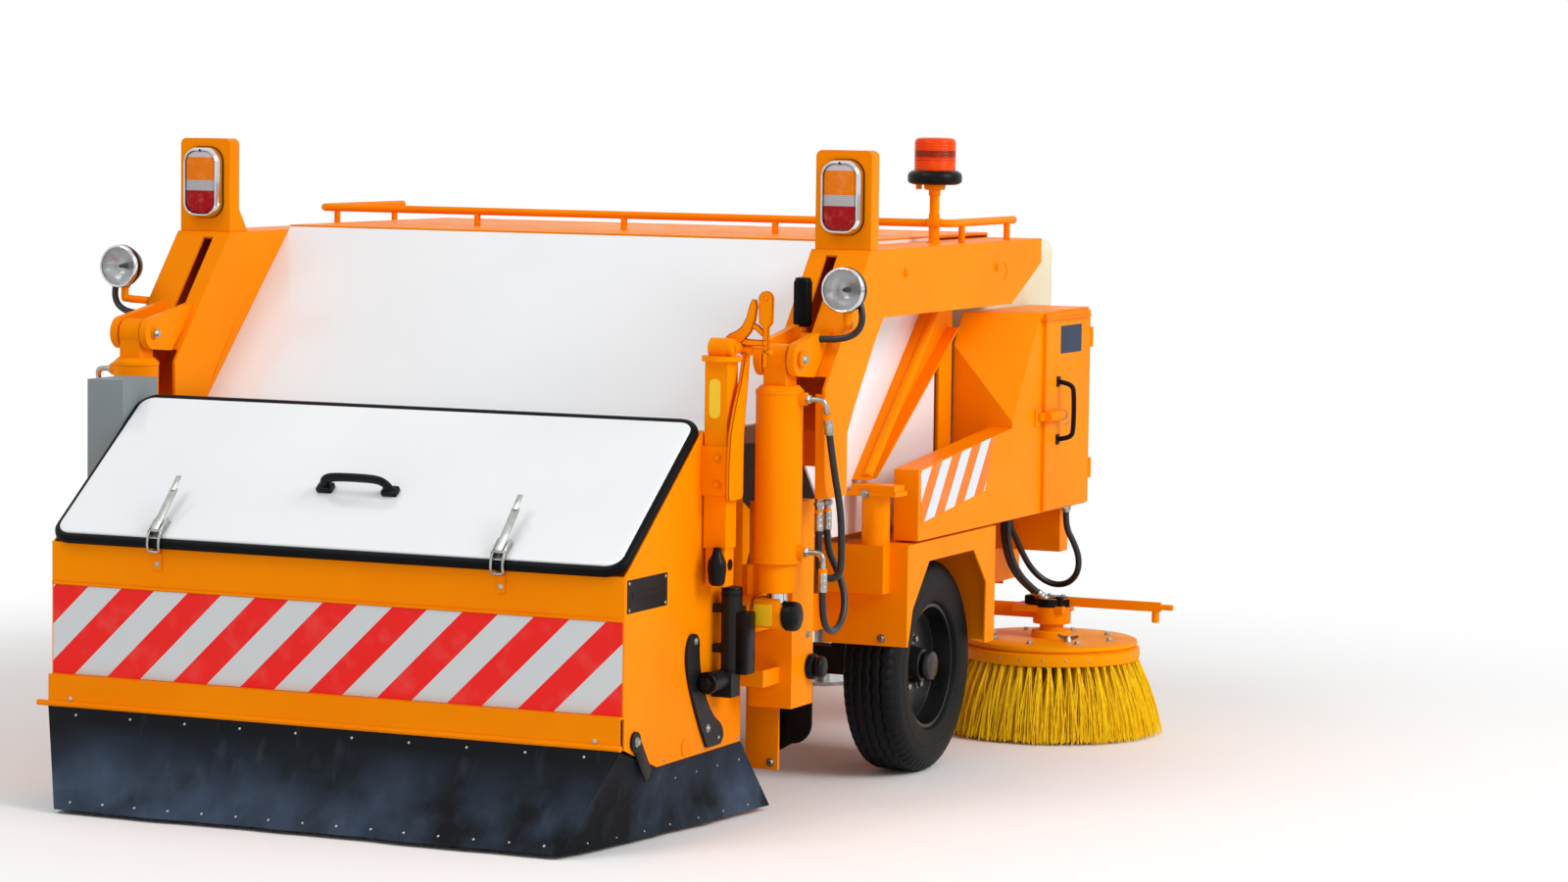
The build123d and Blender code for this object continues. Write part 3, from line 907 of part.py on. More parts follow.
hanger += rod_y(BROOM_PIVOT_X, BROOM_PIVOT_Z, 14, arm_y - 110, arm_y + 110)
write("broom_hanger", hanger)

disc_profile = Polyline((0, BROOM_DISC_Z + 40), (120, BROOM_DISC_Z + 40), (140, BROOM_DISC_Z + 12),
                        (BROOM_DISC_R, BROOM_DISC_Z), (BROOM_RING_R, BROOM_RING_Z + 16),
                        (BROOM_RING_R, BROOM_RING_Z), (BROOM_RING_R - 60, BROOM_RING_Z), (0, BROOM_RING_Z + 10),
                        close=True)
broom = Pos(BROOM_X, BROOM_Y, 0) * revolve(make_face(Plane.XZ * disc_profile), Axis.Z, 360)
broom += rod_z(BROOM_X, BROOM_Y, 40, BROOM_DISC_Z + 38, BROOM_DISC_Z + 60 - SEAT_GAP)
tuft_lean = math.degrees(math.atan2(BROOM_TIP_R - BROOM_RING_R + 30, BROOM_RING_Z))
for number in range(BROOM_TUFTS):
    turn = number * 360 / BROOM_TUFTS
    tuft = Pos(BROOM_RING_R - 34, 0, BROOM_RING_Z + 4) * Rot(0, -tuft_lean, 0) * Pos(0, 0, -136) * Box(24, 22, 280)
    broom += Pos(BROOM_X, BROOM_Y, 0) * Rot(0, 0, turn) * tuft
ground_cut = block(BROOM_X - 500, BROOM_X + 500, BROOM_Y - 500, BROOM_Y + 500, -60, 6)
broom -= ground_cut
write("side_broom", broom)

# broom hoses: two run from glands in the cabinet's floor to the motor, one hangs in a loop
gland_z = cab_low - GLAND_DROP
PRESSURE_HOSE = [motor_ends[0], (1116.25, 2868, 527.25), (1085, 2845, 580), (1067, 2834, 640), (1059, 2829, 702),
                 (*GLAND_PLACES[0], gland_z)]
RETURN_HOSE = [motor_ends[1], (1138.25, 2850, 527.25), (1110, 2824, 578), (1094, 2806, 638), (1087, 2798, 700),
               (*GLAND_PLACES[1], gland_z)]
LOOP_HOSE = [(*GLAND_PLACES[2], gland_z), (1225, 3005, 712), (1250, 3020, 660), (1268, 3030, 605),
             (1262, 3036, 550), (1228, 3040, 512), (1180, 3038, 502), (1135, 3025, 520), (1100, 3000, 560),
             (1078, 2970, 615), (1066, 2935, 670), (1058, 2895, 718), (*GLAND_PLACES[3], gland_z)]
write("hose_broom", hose(PRESSURE_HOSE, HOSE_R), hose(RETURN_HOSE, HOSE_R), hose(LOOP_HOSE, HOSE_R))
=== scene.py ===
# %% [markdown]
# # Dressing a towed street sweeper
# The rigid machine is already packed: rails, hood, hopper, arms, cylinders and brushes, each in its
# place. This lesson gives every visible surface its real finish and adds the forms that plates and
# rods can't give: a rubber skirt, bristles, lamps, a bulb seal, tyres, hoses and fittings.
# Everything is in metres. The helper lengths below are measured in a ground frame: X to the
# machine's right, Y forward from the rear panel, Z up from the ground.

# %% Load the frame
import math
import bmesh
import bpy
import numpy as np
from mathutils import Matrix, Vector


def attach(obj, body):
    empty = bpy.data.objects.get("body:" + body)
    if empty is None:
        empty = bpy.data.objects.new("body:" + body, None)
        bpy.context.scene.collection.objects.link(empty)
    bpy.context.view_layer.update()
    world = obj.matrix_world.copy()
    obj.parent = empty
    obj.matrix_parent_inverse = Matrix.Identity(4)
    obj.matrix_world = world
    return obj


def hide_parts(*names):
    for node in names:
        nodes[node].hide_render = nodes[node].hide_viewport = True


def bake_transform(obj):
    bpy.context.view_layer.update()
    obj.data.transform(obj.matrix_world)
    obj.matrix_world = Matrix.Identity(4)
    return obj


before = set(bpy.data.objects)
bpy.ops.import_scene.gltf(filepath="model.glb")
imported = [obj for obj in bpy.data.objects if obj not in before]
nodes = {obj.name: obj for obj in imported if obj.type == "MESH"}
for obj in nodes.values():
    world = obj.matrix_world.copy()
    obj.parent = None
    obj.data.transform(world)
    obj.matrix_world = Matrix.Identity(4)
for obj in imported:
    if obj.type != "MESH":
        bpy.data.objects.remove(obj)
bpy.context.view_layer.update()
TOW_EYE = np.array([0.0, 4.2, 0.52])
RIGHT, AHEAD, UP, BACK = (1, 0, 0), (0, 1, 0), (0, 0, 1), (0, -1, 0)
SIDES = (("right", 1), ("left", -1))

# %% [markdown]
# ## Camera
# A long lens from behind and to the right, standing well back, so that the rear panel and the right
# flank share the picture. The camera could be aimed with a constraint; here its three axes are
# written out from a heading, a tip downwards and a small roll, so the view can be read as numbers.

# %% Camera
heading, tip, roll = math.radians(24.002), math.radians(4.592), math.radians(0.751)
ahead = np.array([-math.sin(heading) * math.cos(tip), math.cos(heading) * math.cos(tip), -math.sin(tip)])
level = np.array([math.cos(heading), math.sin(heading), 0.0])
above = np.cross(level, ahead)
right = level * math.cos(roll) + above * math.sin(roll)
upward = above * math.cos(roll) - level * math.sin(roll)
eye = np.array([6.502, -11.28, 2.222]) - TOW_EYE
camera = bpy.data.objects.new("camera", bpy.data.cameras.new("camera"))
bpy.context.scene.collection.objects.link(camera)
camera.matrix_world = Matrix([[right[k], upward[k], -ahead[k], eye[k]] for k in range(3)] + [[0, 0, 0, 1]])
camera.data.lens = 100.14
camera.data.sensor_width = 36.0
camera.data.clip_end = 200.0
bpy.context.scene.camera = camera
print("camera at", np.round(eye, 3).tolist())

# %% [markdown]
# ## Surfaces from arrays
# A mesh is two arrays: corner points, and faces that number them. Each helper works the points out
# for a whole grid at once. A triangle is stored as a quad whose last two numbers are the same, so
# that one array holds both kinds.

# %% Mesh helpers
def build_mesh(name, points, faces):
    """A mesh from points (n, 3) and faces (m, 4): doubles merged, poles closed, faces outwards."""
    points, faces = np.asarray(points, float), np.asarray(faces, int)
    corners = np.where(faces[:, 2] == faces[:, 3], 3, 4)
    mesh = bpy.data.meshes.new(name)
    mesh.vertices.add(len(points))
    mesh.vertices.foreach_set("co", (points - TOW_EYE).ravel())
    mesh.loops.add(int(corners.sum()))
    mesh.loops.foreach_set("vertex_index", faces[np.arange(4) < corners[:, None]])
    mesh.polygons.add(len(faces))
    mesh.polygons.foreach_set("loop_start", np.cumsum(corners) - corners)
    mesh.update(calc_edges=True)
    work = bmesh.new()
    work.from_mesh(mesh)
    bmesh.ops.remove_doubles(work, verts=work.verts, dist=1e-6)
    bmesh.ops.dissolve_degenerate(work, edges=work.edges, dist=1e-7)
    bmesh.ops.recalc_face_normals(work, faces=work.faces)
    work.to_mesh(mesh)
    work.free()
    return mesh


def smooth_object(name, shape, material, crease):
    """An object in the scene: the shape's mesh in one finish, smooth up to a crease angle."""
    mesh = build_mesh(name, *shape)
    mesh.polygons.foreach_set("use_smooth", np.ones(len(mesh.polygons), bool))
    mesh.set_sharp_from_angle(angle=math.radians(crease))
    mesh.materials.append(material)
    thing = bpy.data.objects.new(name, mesh)
    bpy.context.scene.collection.objects.link(thing)
    return thing


def piece(name, shape, material, body, crease=40, replaced=()):
    """A finished piece, riding on its body."""
    thing = smooth_object(name, shape, material, crease)
    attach(thing, body)
    if replaced:
        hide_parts(*replaced)
    print(name, len(thing.data.polygons), "faces")


def grid_faces(rows, columns, close_rows=False, close_columns=False):
    """Quads of a grid of points: corner (i, j) has the number i times columns plus j."""
    i, j = np.meshgrid(np.arange(rows if close_rows else rows - 1),
        np.arange(columns if close_columns else columns - 1), indexing="ij")
    i, j = i.ravel(), j.ravel()
    below, beside = (i + 1) % rows, (j + 1) % columns
    return np.stack([i * columns + j, i * columns + beside, below * columns + beside, below * columns + j], 1)


def woven(points, close_rows=False, close_columns=True):
    """A shape from a grid of points (rows, columns, 3)."""
    return points.reshape(-1, 3), grid_faces(len(points), points.shape[1], close_rows, close_columns)


def polar(radius, angle, rise=0.0):
    """Points from radii, angles and heights: (radius * cos, radius * sin, rise)."""
    return np.stack(np.broadcast_arrays(radius * np.cos(angle), radius * np.sin(angle), rise), -1)


def joined(*shapes):
    """One shape from several: points stacked, face numbers moved on by the points before them."""
    starts = np.cumsum([0] + [len(points) for points, faces in shapes[:-1]])
    return (np.concatenate([points for points, faces in shapes]),
        np.concatenate([faces + start for (points, faces), start in zip(shapes, starts)]))


def copies(shape, offsets):
    """The same shape at many places: every point plus every offset."""
    points, faces = shape
    offsets = np.asarray(offsets, float)
    count = len(offsets)
    moved = (points[None] + offsets[:, None]).reshape(-1, 3)
    return moved, (faces[None] + len(points) * np.arange(count)[:, None, None]).reshape(-1, 4)


def flipped(shape):
    """The same shape on the machine's other side: X changes sign, faces run the other way."""
    points, faces = shape
    return points * [-1, 1, 1], faces[:, ::-1] if not np.any(faces[:, 2] == faces[:, 3]) else faces


def frame_of(direction):
    """Two unit vectors square to a direction and to each other."""
    n = np.asarray(direction, float) / np.linalg.norm(direction)
    side = np.cross(n, [0, 0, 1.0] if abs(n[2]) < 0.9 else [1.0, 0, 0])
    side /= np.linalg.norm(side)
    return n, side, np.cross(n, side)


def turned(profile, centre, direction, steps=32, closed=False, capped=True):
    """A lathe shape: centre + along * n + radius * (cos a * side + sin a * up).

    A profile that doesn't close on itself is capped on the axis at each end, unless it is to stay open.
    """
    if capped and not closed:
        profile = [(place, 0) for place, r in profile[:1] if r > 1e-9] + list(profile) + [
            (place, 0) for place, r in profile[-1:] if r > 1e-9]
    along, radius = np.array(profile, float).T
    n, side, up = frame_of(direction)
    a = np.linspace(0, 2 * np.pi, steps, endpoint=False)
    ring = np.cos(a)[:, None] * side + np.sin(a)[:, None] * up
    points = np.asarray(centre) + along[:, None, None] * n + radius[:, None, None] * ring[None]
    return woven(points, closed)


def soft_path(points, per_span=6):
    """A smooth line led by a few points: the uniform quadratic B-spline, ends kept."""
    led = np.array([points[0], *points, points[-1]], float)
    a, b, c = led[:-2, None], led[1:-1, None], led[2:, None]
    t = np.linspace(0, 1, per_span, endpoint=False)[None, :, None]
    line = 0.5 * (1 - t) ** 2 * a + (0.5 + t - t * t) * b + 0.5 * t * t * c
    return np.concatenate([line.reshape(-1, 3), [points[-1]]])


def tube(path, radius, sides=12, flat=1.0, wide=None):
    """A bar on a path: each ring is centre + radius * (cos a * side + flat * sin a * up).

    The side is square to the path and to the direction in which the path spreads least.
    """
    path = np.asarray(path, float)
    if wide is None:
        wide = np.linalg.svd(path - path.mean(0))[2][2]
    path = np.concatenate([path[:1], path, path[-1:]])
    along = np.gradient(path[1:-1], axis=0)
    along = np.concatenate([along[:1], along, along[-1:]])
    along /= np.linalg.norm(along, axis=1)[:, None]
    side = np.cross(along, np.asarray(wide, float))
    side /= np.linalg.norm(side, axis=1)[:, None]
    up = np.cross(side, along)
    radii = np.full(len(path), float(radius))
    radii[[0, -1]] = 0.0
    a = np.linspace(0, 2 * np.pi, sides, endpoint=False)[None, :, None]
    points = path[:, None] + radii[:, None, None] * (np.cos(a) * side[:, None]
        + flat * np.sin(a) * up[:, None])
    return woven(points)


def quarter_turns(steps):
    """Angles of four quarter turns, and for each the signs of X and Y in its quarter."""
    angles = np.concatenate([np.linspace(0, np.pi / 2, steps + 1) + k * np.pi / 2 for k in range(4)])
    return angles, np.repeat([(1, 1), (-1, 1), (-1, -1), (1, -1)], steps + 1, axis=0)


def block(low, high, radius, steps=2):
    """A box with round edges: the inner box's corner, by sign, plus radius times a direction."""
    low, high = np.minimum(low, high), np.maximum(low, high)
    inner = (np.asarray(high, float) - low) / 2 - radius
    lon, side = quarter_turns(steps)
    quarter = lon[:steps + 1]
    lat = np.concatenate([quarter - np.pi / 2, quarter])
    lat_z = np.repeat([-1, 1], steps + 1)
    way = np.stack(np.broadcast_arrays(np.cos(lat)[:, None] * np.cos(lon), np.cos(lat)[:, None] * np.sin(lon),
        np.sin(lat)[:, None]), -1)
    sign = np.stack(np.broadcast_arrays(side[:, 0], side[:, 1], lat_z[:, None]), -1)
    grid = sign * inner + radius * way
    pole = np.zeros((1, len(lon), 3))
    pole[..., 2] = inner[2] + radius
    return woven(np.concatenate([-pole, grid, pole]) + (np.asarray(high) + low) / 2)


def placed(shape, origin, x_axis, y_axis, z_axis):
    """A shape drawn flat, carried to a slanted plane: origin + x * X + y * Y + z * Z."""
    points, faces = shape
    return np.asarray(origin) + points @ np.array([x_axis, y_axis, z_axis], float), faces


def outline_rings(half_x, half_y, corner, rings, steps):
    """Round-cornered outlines: for each (inset, height), core + (corner - inset) * (cos a, sin a)."""
    a, side = quarter_turns(steps)
    inset, rise = np.array(rings, float).T[:, :, None, None]
    flat = side * [half_x - corner, half_y - corner] + np.maximum(corner - inset, 0) * np.stack(
        [np.cos(a), np.sin(a)], 1)
    flat = np.sign(flat) * np.maximum(np.abs(flat) - np.maximum(inset - corner, 0), 0)
    return np.concatenate([flat, np.broadcast_to(rise, (len(flat), len(a), 1))], 2)


def round_plate(half_x, half_y, corner, rings, steps=8):
    """A plate with round corners: outline rings from one face to the other, closed at the middle."""
    points = outline_rings(half_x, half_y, corner, rings, steps)
    middle = points[[0, -1]] * [0, 0, 1]
    return woven(np.concatenate([middle[:1], points, middle[1:]]))


def outline_bead(half_x, half_y, corner, profile, steps):
    """A closed profile of (inset, height) carried round an outline with round corners."""
    return woven(outline_rings(half_x, half_y, corner, profile, steps), True)


def hex_head(centre, direction, across, tall):
    """A bolt head on its washer: six sides, a low chamfer, a round flange below."""
    half = across * 0.57
    head = turned([(0, half), (tall * 0.75, half), (tall, across * 0.48)], centre, direction, 6)
    washer = turned([(0, across * 0.8), (tall * 0.22, across * 0.8)], centre, direction, 16)
    return joined(washer, head)


def dome_head(centre, direction, radius):
    """A round rivet head: half a sphere pressed to four tenths of its height."""
    profile = [(0.4 * radius * math.sin(v), radius * math.cos(v)) for v in np.linspace(0, np.pi / 2, 5)]
    return turned(profile, centre, direction, 12)

# %% [markdown]
# ## Straps, bolts and short bars
# Levers and brackets are flat bar cut to a curved outline. A flat bar is a rectangle carried along a
# line, with a width for each point, so one helper makes them all. Screws are small and many, so one
# more places a list of heads.

# %% Small hardware helpers
def strap(path, width, thick, face):
    """Flat bar: each ring is centre +- width / 2 * side +- thick / 2 * face, with its edges eased."""
    path, face = np.asarray(path, float), np.asarray(face, float) / np.linalg.norm(face)
    half = np.broadcast_to(np.asarray(width, float) / 2, (len(path),)).copy()
    along = np.gradient(path, axis=0)
    along /= np.linalg.norm(along, axis=1)[:, None]
    side = np.cross(along, face)
    ease = min(0.0015, thick * 0.3)
    corner = np.array([(-1, -1, 0, 1), (-1, -1, 1, 0), (-1, 1, 1, 0), (-1, 1, 0, 1), (1, 1, 0, 1),
        (1, 1, 1, 0), (1, -1, 1, 0), (1, -1, 0, 1)], float)
    across = corner[:, 0] * (half[:, None] - ease * corner[:, 2])
    through = corner[:, 1] * (thick / 2 - ease * corner[:, 3])
    rings = path[:, None] + across[..., None] * side[:, None] + through[None, :, None] * face
    ends = np.broadcast_to(path[[0, -1], None], (2, 8, 3))
    return woven(np.concatenate([ends[:1], rings, ends[1:]]))


def bar(start, end, radius, sides=14, ease=0.001):
    """A straight round bar with eased ends."""
    start, end = np.asarray(start, float), np.asarray(end, float)
    length = float(np.linalg.norm(end - start))
    return turned([(0, radius - ease), (ease, radius), (length - ease, radius), (length, radius - ease)],
        start, end - start, sides)


def many(make, places, *rest):
    """The same small part at a list of places."""
    return joined(*[make(place, *rest) for place in places])


def around(centre, radius, count, start=0.0):
    """Places evenly spaced on a level circle: centre + radius * (cos v, sin v)."""
    return np.asarray(centre) + polar(radius, start + np.arange(count) * 2 * np.pi / count)


def bent(points, radius, sides=16, per_span=6):
    """A round bar or pipe bent along a soft line."""
    return tube(soft_path(points, per_span), radius, sides)


def both(shape):
    """A piece and its mirror image on the machine's other side."""
    return joined(shape, flipped(shape))


def on_side(shape, sign):
    """The shape as drawn on the right (+1), or its mirror image on the left (-1)."""
    return shape if sign > 0 else flipped(shape)

# %% [markdown]
# ## Materials
# A finish is a small tree of nodes. One helper adds a node, sets its properties and fills its
# inputs, each either with a value or with another node's output. Colours are written as hex values,
# as on a paint card, and turned to linear light.

# %% Material helpers
def paint_card(code):
    """sRGB hex to linear RGBA: each channel divided by 12.92 or raised to 2.4."""
    channel = np.array([int(code[k:k + 2], 16) for k in (1, 3, 5)]) / 255
    linear = np.where(channel <= 0.04045, channel / 12.92, ((channel + 0.055) / 1.055) ** 2.4)
    return (*linear.tolist(), 1.0)


def add(tree, kind, inputs=None, **settings):
    """One shader node with its settings; an input is a value, or (node, output name) to link."""
    node = tree.nodes.new("ShaderNode" + kind)
    for key, value in settings.items():
        setattr(node, key, value)
    for name, value in (inputs or {}).items():
        if isinstance(value, tuple) and isinstance(value[0], bpy.types.Node):
            tree.links.new(value[0].outputs[value[1]], node.inputs[name])
        else:
            node.inputs[name].default_value = value
    return node


def new_finish(name, slot, roughness, **sockets):
    """An empty finish: a Principled shader with its constants, and the piece's own coordinates."""
    material = bpy.data.materials.new(name)
    material.use_nodes = True
    tree = material.node_tree
    shader = tree.nodes["Principled BSDF"]
    shader.inputs["Roughness"].default_value = roughness
    for key, value in sockets.items():
        shader.inputs[key.replace("_", " ")].default_value = value
    where = (add(tree, "TexCoord"), "Object")
    return material, tree, shader, where


def wire(tree, shader, **outputs):
    """Joins node outputs to the shader's inputs by name."""
    for key, (node, output) in outputs.items():
        tree.links.new(node.outputs[output], shader.inputs[key.replace("_", " ")])


def reckoned(tree, operation, *values):
    """A number worked out from one, two or three others."""
    return add(tree, "Math", dict(enumerate(values)), operation=operation), "Value"


def ranged(tree, value, low, high, start=0.0, end=1.0):
    """A value carried from the range low to high to the range start to end, and held there."""
    return add(tree, "MapRange", {"Value": value, "From Min": low, "From Max": high, "To Min": start,
        "To Max": end}), "Result"


def cloudy(tree, where, scale, low, high, detail=3.0, light=0.0, dark=1.0):
    """Noise squeezed between two levels: 0 below low, 1 above high."""
    noise = add(tree, "TexNoise", {"Vector": where, "Scale": scale, "Detail": detail})
    return ranged(tree, (noise, "Fac"), low, high, light, dark)


def mixed(tree, factor, first, second):
    """Mixes two colours, hex codes or sockets; 6 and 7 are the colour inputs of the Mix node."""
    first, second = (paint_card(colour) if isinstance(colour, str) else colour for colour in (first, second))
    return add(tree, "Mix", {0: factor, 6: first, 7: second}, data_type="RGBA"), 2


def eased_edges(tree, radius):
    """A normal that rounds every edge by a radius, so that it catches the light."""
    return add(tree, "Bevel", {"Radius": radius}, samples=4), "Normal"


def height(tree, value, distance, strength=1.0, normal=None):
    """A bump from a height value, over the rounded or given normal."""
    inputs = {"Height": value, "Distance": distance, "Strength": strength}
    if normal:
        inputs["Normal"] = normal
    return add(tree, "Bump", inputs), "Normal"


def up_from_ground(tree, where, low, high):
    """0 above the higher level, 1 below the lower one: Z of the piece's own coordinates."""
    split = add(tree, "SeparateXYZ", {"Vector": where})
    return ranged(tree, (split, "Z"), low - TOW_EYE[2], high - TOW_EYE[2], 1.0, 0.0)


print("helpers ready")

# %% [markdown]
# ## Enamel on welded sheet
# The orange is two-pack enamel, sprayed on sheet steel and brushed over at the welds. A plain colour
# would look like plastic, so the finish has four layers: a slow drift of shade, road dust that
# thickens towards the ground, a fine orange-peel relief from the spray gun, and sheet edges
# that catch a thin line of light, because a bent or cut edge is never quite sharp.

# %% Enamels
DUST_TOP, DUST_MOST, PEEL = 0.9, 0.09, 0.00012


def enamel(name, slot, colour, drift, dust, gloss=0.3, shine=0.03):
    """Sprayed enamel: colour and its drifted shade, dust low down, orange peel 3 mm across."""
    material, tree, shader, where = new_finish(name, slot, gloss, IOR=1.5, Specular_IOR_Level=shine)
    shade = mixed(tree, cloudy(tree, where, 2.2, 0.35, 0.7), colour, drift)
    low = up_from_ground(tree, where, 0.0, DUST_TOP)
    patch = cloudy(tree, where, 9.0, 0.38, 0.72, 8.0)
    share = reckoned(tree, "MULTIPLY", low, patch)
    dusty = mixed(tree, reckoned(tree, "MULTIPLY", share, DUST_MOST), shade, dust)
    rough = ranged(tree, patch, 0.0, 1.0, gloss, gloss + 0.14)
    soft_edge = eased_edges(tree, 0.004)
    spray = add(tree, "TexNoise", {"Vector": where, "Scale": 330.0, "Detail": 1.0})
    relief = height(tree, (spray, "Fac"), PEEL, 1.0, soft_edge)
    wire(tree, shader, Base_Color=dusty, Roughness=rough, Normal=relief)
    return material


orange = enamel("orange_enamel_on_sheet_steel", "orange_enamel", "#FF9100", "#FC8700", "#9A5208")
yellow_orange = enamel("amber_enamel_on_broom_disc", "orange_enamel", "#FFA406", "#FA9600", "#A06A18", 0.38)
satin_black = enamel("satin_black_chassis_enamel", "frame_paint", "#0A0B0D", "#111315", "#34302A", 0.42, 0.25)
wheel_black = enamel("black_enamel_on_pressed_wheel", "rim_paint", "#08090A", "#0E1012", "#2C2925", 0.26, 0.5)
grey_box = enamel("grey_enamel_on_valve_box", "grey_paint", "#8E979B", "#838C90", "#6B665C", 0.4)

# %% [markdown]
# ## Moulded, cast and plated finishes
# White gelcoat is the glassy outer skin of glass-fibre mouldings: almost no texture, long slow waves.
# The bulb seal is dull rubber. Zinc plating is a soft grey metal with faint crystals, chrome a bright
# mirror, and moulded black ABS has a leathery grain. All of them are two shades and a relief.

# %% Plain finishes
def simple_finish(name, slot, colour, second, roughness, grain, relief, scale=6.0, edge=0.0, **sockets):
    """Two close shades in slow clouds, and a fine grain in relief; grain is its scale per metre."""
    material, tree, shader, where = new_finish(name, slot, roughness, **sockets)
    shade = mixed(tree, cloudy(tree, where, scale, 0.3, 0.72, 5.0), colour, second)
    normal = eased_edges(tree, edge) if edge else None
    speck = add(tree, "TexNoise", {"Vector": where, "Scale": grain, "Detail": 2.0})
    wire(tree, shader, Base_Color=shade, Normal=height(tree, (speck, "Fac"), relief, 1.0, normal))
    return material


white_shell = simple_finish("white_gelcoat", "white_shell", "#F4F6F8", "#EEF1F4", 0.16, 40.0, 0.00006, 1.5,
    0.004, IOR=1.5, Coat_Weight=0.4, Coat_Roughness=0.06)
seal_rubber = simple_finish("epdm_bulb_seal", "seal_rubber", "#040507", "#090B0E", 0.4, 500.0, 0.0002,
    IOR=1.5, Specular_IOR_Level=0.08)
plastic = simple_finish("moulded_abs", "black_plastic", "#08090B", "#101214", 0.3, 900.0, 0.00015, 8.0, 0.002,
    IOR=1.54, Specular_IOR_Level=0.12)
zinc = simple_finish("zinc_plated_steel", "zinc_steel", "#B9BAB6", "#8F918E", 0.34, 420.0, 0.0001, 30.0,
    0.0015, Metallic=1.0)
chrome = simple_finish("chromed_steel", "chrome_trim", "#D9DBDD", "#CDD0D3", 0.07, 90.0, 0.00003, 8.0, 0.0,
    Metallic=1.0)
reflector = simple_finish("vacuum_plated_reflector", "chrome_trim", "#F4F6F7", "#E6EAEC", 0.32, 60.0, 0.00003,
    12.0, Metallic=0.55)
hard_chrome = simple_finish("hard_chromed_rod", "rod_chrome", "#CFCFCD", "#BDBEBC", 0.14, 700.0, 0.00004,
    14.0, 0.0, Metallic=1.0)
tank_cream = simple_finish("rotomoulded_polyethylene", "tank_plastic", "#EDE3C4", "#E2D6B2", 0.42, 160.0,
    0.0006, 3.0, 0.01, IOR=1.5)
hose_black = simple_finish("hydraulic_hose_rubber", "hose_rubber", "#08090B", "#101215", 0.34, 650.0, 0.0002,
    25.0, IOR=1.5)
amber_lens = simple_finish("amber_acrylic", "lamp_lens", "#F0780A", "#E06A06", 0.1, 60.0, 0.0001, 10.0,
    IOR=1.49, Coat_Weight=0.5)
bristle = simple_finish("polypropylene_bristle", "brush_bristle", "#FFE000", "#F6B200", 0.44, 300.0, 0.0002,
    60.0, IOR=1.49, Specular_IOR_Level=0.15)
tread = simple_finish("road_tyre_rubber", "tyre_rubber", "#050607", "#0D0E10", 0.5, 520.0, 0.0004, 7.0,
    IOR=1.5, Specular_IOR_Level=0.14)
label_yellow = simple_finish("yellow_vinyl_label", "stripe_panel", "#FFD216", "#F8C40E", 0.35, 300.0, 0.00005)
label_blue = simple_finish("dark_blue_vinyl_label", "stripe_panel", "#0B2440", "#123154", 0.3, 300.0, 0.00005,
    Specular_IOR_Level=0.2)

# %% [markdown]
# ## Sheet rubber of the skirt
# The skirt is cut from dark conveyor-belt rubber, kept near black at the top: painted shade under the
# hood's lip. Low down, broad bluish-grey patches are a painted sky reflection on the flare, and paler
# scuffs run where it drags. Three noises do it: broad patches, streaks stretched along the height, and
# a pebbled relief that shows each time the sheet turns to the light.

# %% Skirt rubber
skirt_rubber, tree, shader, where = new_finish("sheet_rubber_with_painted_shade_and_sheen", "skirt_rubber", 0.62, IOR=1.5,
    Specular_IOR_Level=0.12)
broad = cloudy(tree, where, 3.0, 0.36, 0.68, 6.0)
painted_sheen_low = up_from_ground(tree, where, 0.08, 0.27)
# Painted shade and reflection: near black for the shade under the hood's lip, bluish grey in broad patches
# low down for a painted sky reflection on the flare.
base = mixed(tree, reckoned(tree, "MULTIPLY", painted_sheen_low, broad), "#0A0D12", "#46576E")
stretch = (add(tree, "Mapping", {"Vector": where, "Scale": (18.0, 18.0, 4.0)}), "Vector")
streak = cloudy(tree, stretch, 1.0, 0.58, 0.85, 8.0, 0.0, 0.22)
scuffed = mixed(tree, streak, base, "#5A6873")
pebble = add(tree, "TexNoise", {"Vector": where, "Scale": 26.0, "Detail": 9.0, "Roughness": 0.62})
wire(tree, shader, Base_Color=scuffed, Normal=height(tree, (pebble, "Fac"), 0.006, 0.8))
print("skirt rubber mixed from", len(tree.nodes), "nodes")

# %% [markdown]
# ## Carried-over nodes
# A node whose shape is right only needs its finish. The table names them by finish; everything that
# isn't named is sheet steel, so it takes the orange enamel.

# %% Finishes on the frame's own nodes
carried = {
    white_shell: ["hatch_lid", "hopper_shell", "hood_deck"],
    seal_rubber: ["hatch_seal"],
    skirt_rubber: ["skirt_rear", "side_skirts"],
    plastic: ["hatch_handle", "door_handle"],
    zinc: ["hatch_latches", "jack_leg", "hatch_straps", "hatch_hinges"],
    bristle: ["main_brush", "side_broom"],
    satin_black: ["axle", "tow_eye", "jack_sleeve", "brush_actuator"],
    tread: ["tyre_left", "tyre_right"],
    wheel_black: ["rim_left", "rim_right"],
    chrome: ["work_lamps"],
    amber_lens: ["beacon", "tail_lamps"],
    hard_chrome: ["lift_stage_left", "lift_stage_right", "lift_rod_left", "lift_rod_right"],
    tank_cream: ["water_tank"],
    grey_box: ["valve_box"],
}
finish_of = {name: finish for finish, names in carried.items() for name in names}
for name, node in nodes.items():
    node.data.materials.clear()
    node.data.materials.append(finish_of.get(name, orange))
print(len(nodes), "nodes finished")

# %% [markdown]
# ## Floor and light
# A pale floor runs to a white sky, so the machine stands clear. Two broad soft lamps stand over the
# left and right shoulders, and the even sky fills the rest, as in a studio tent.

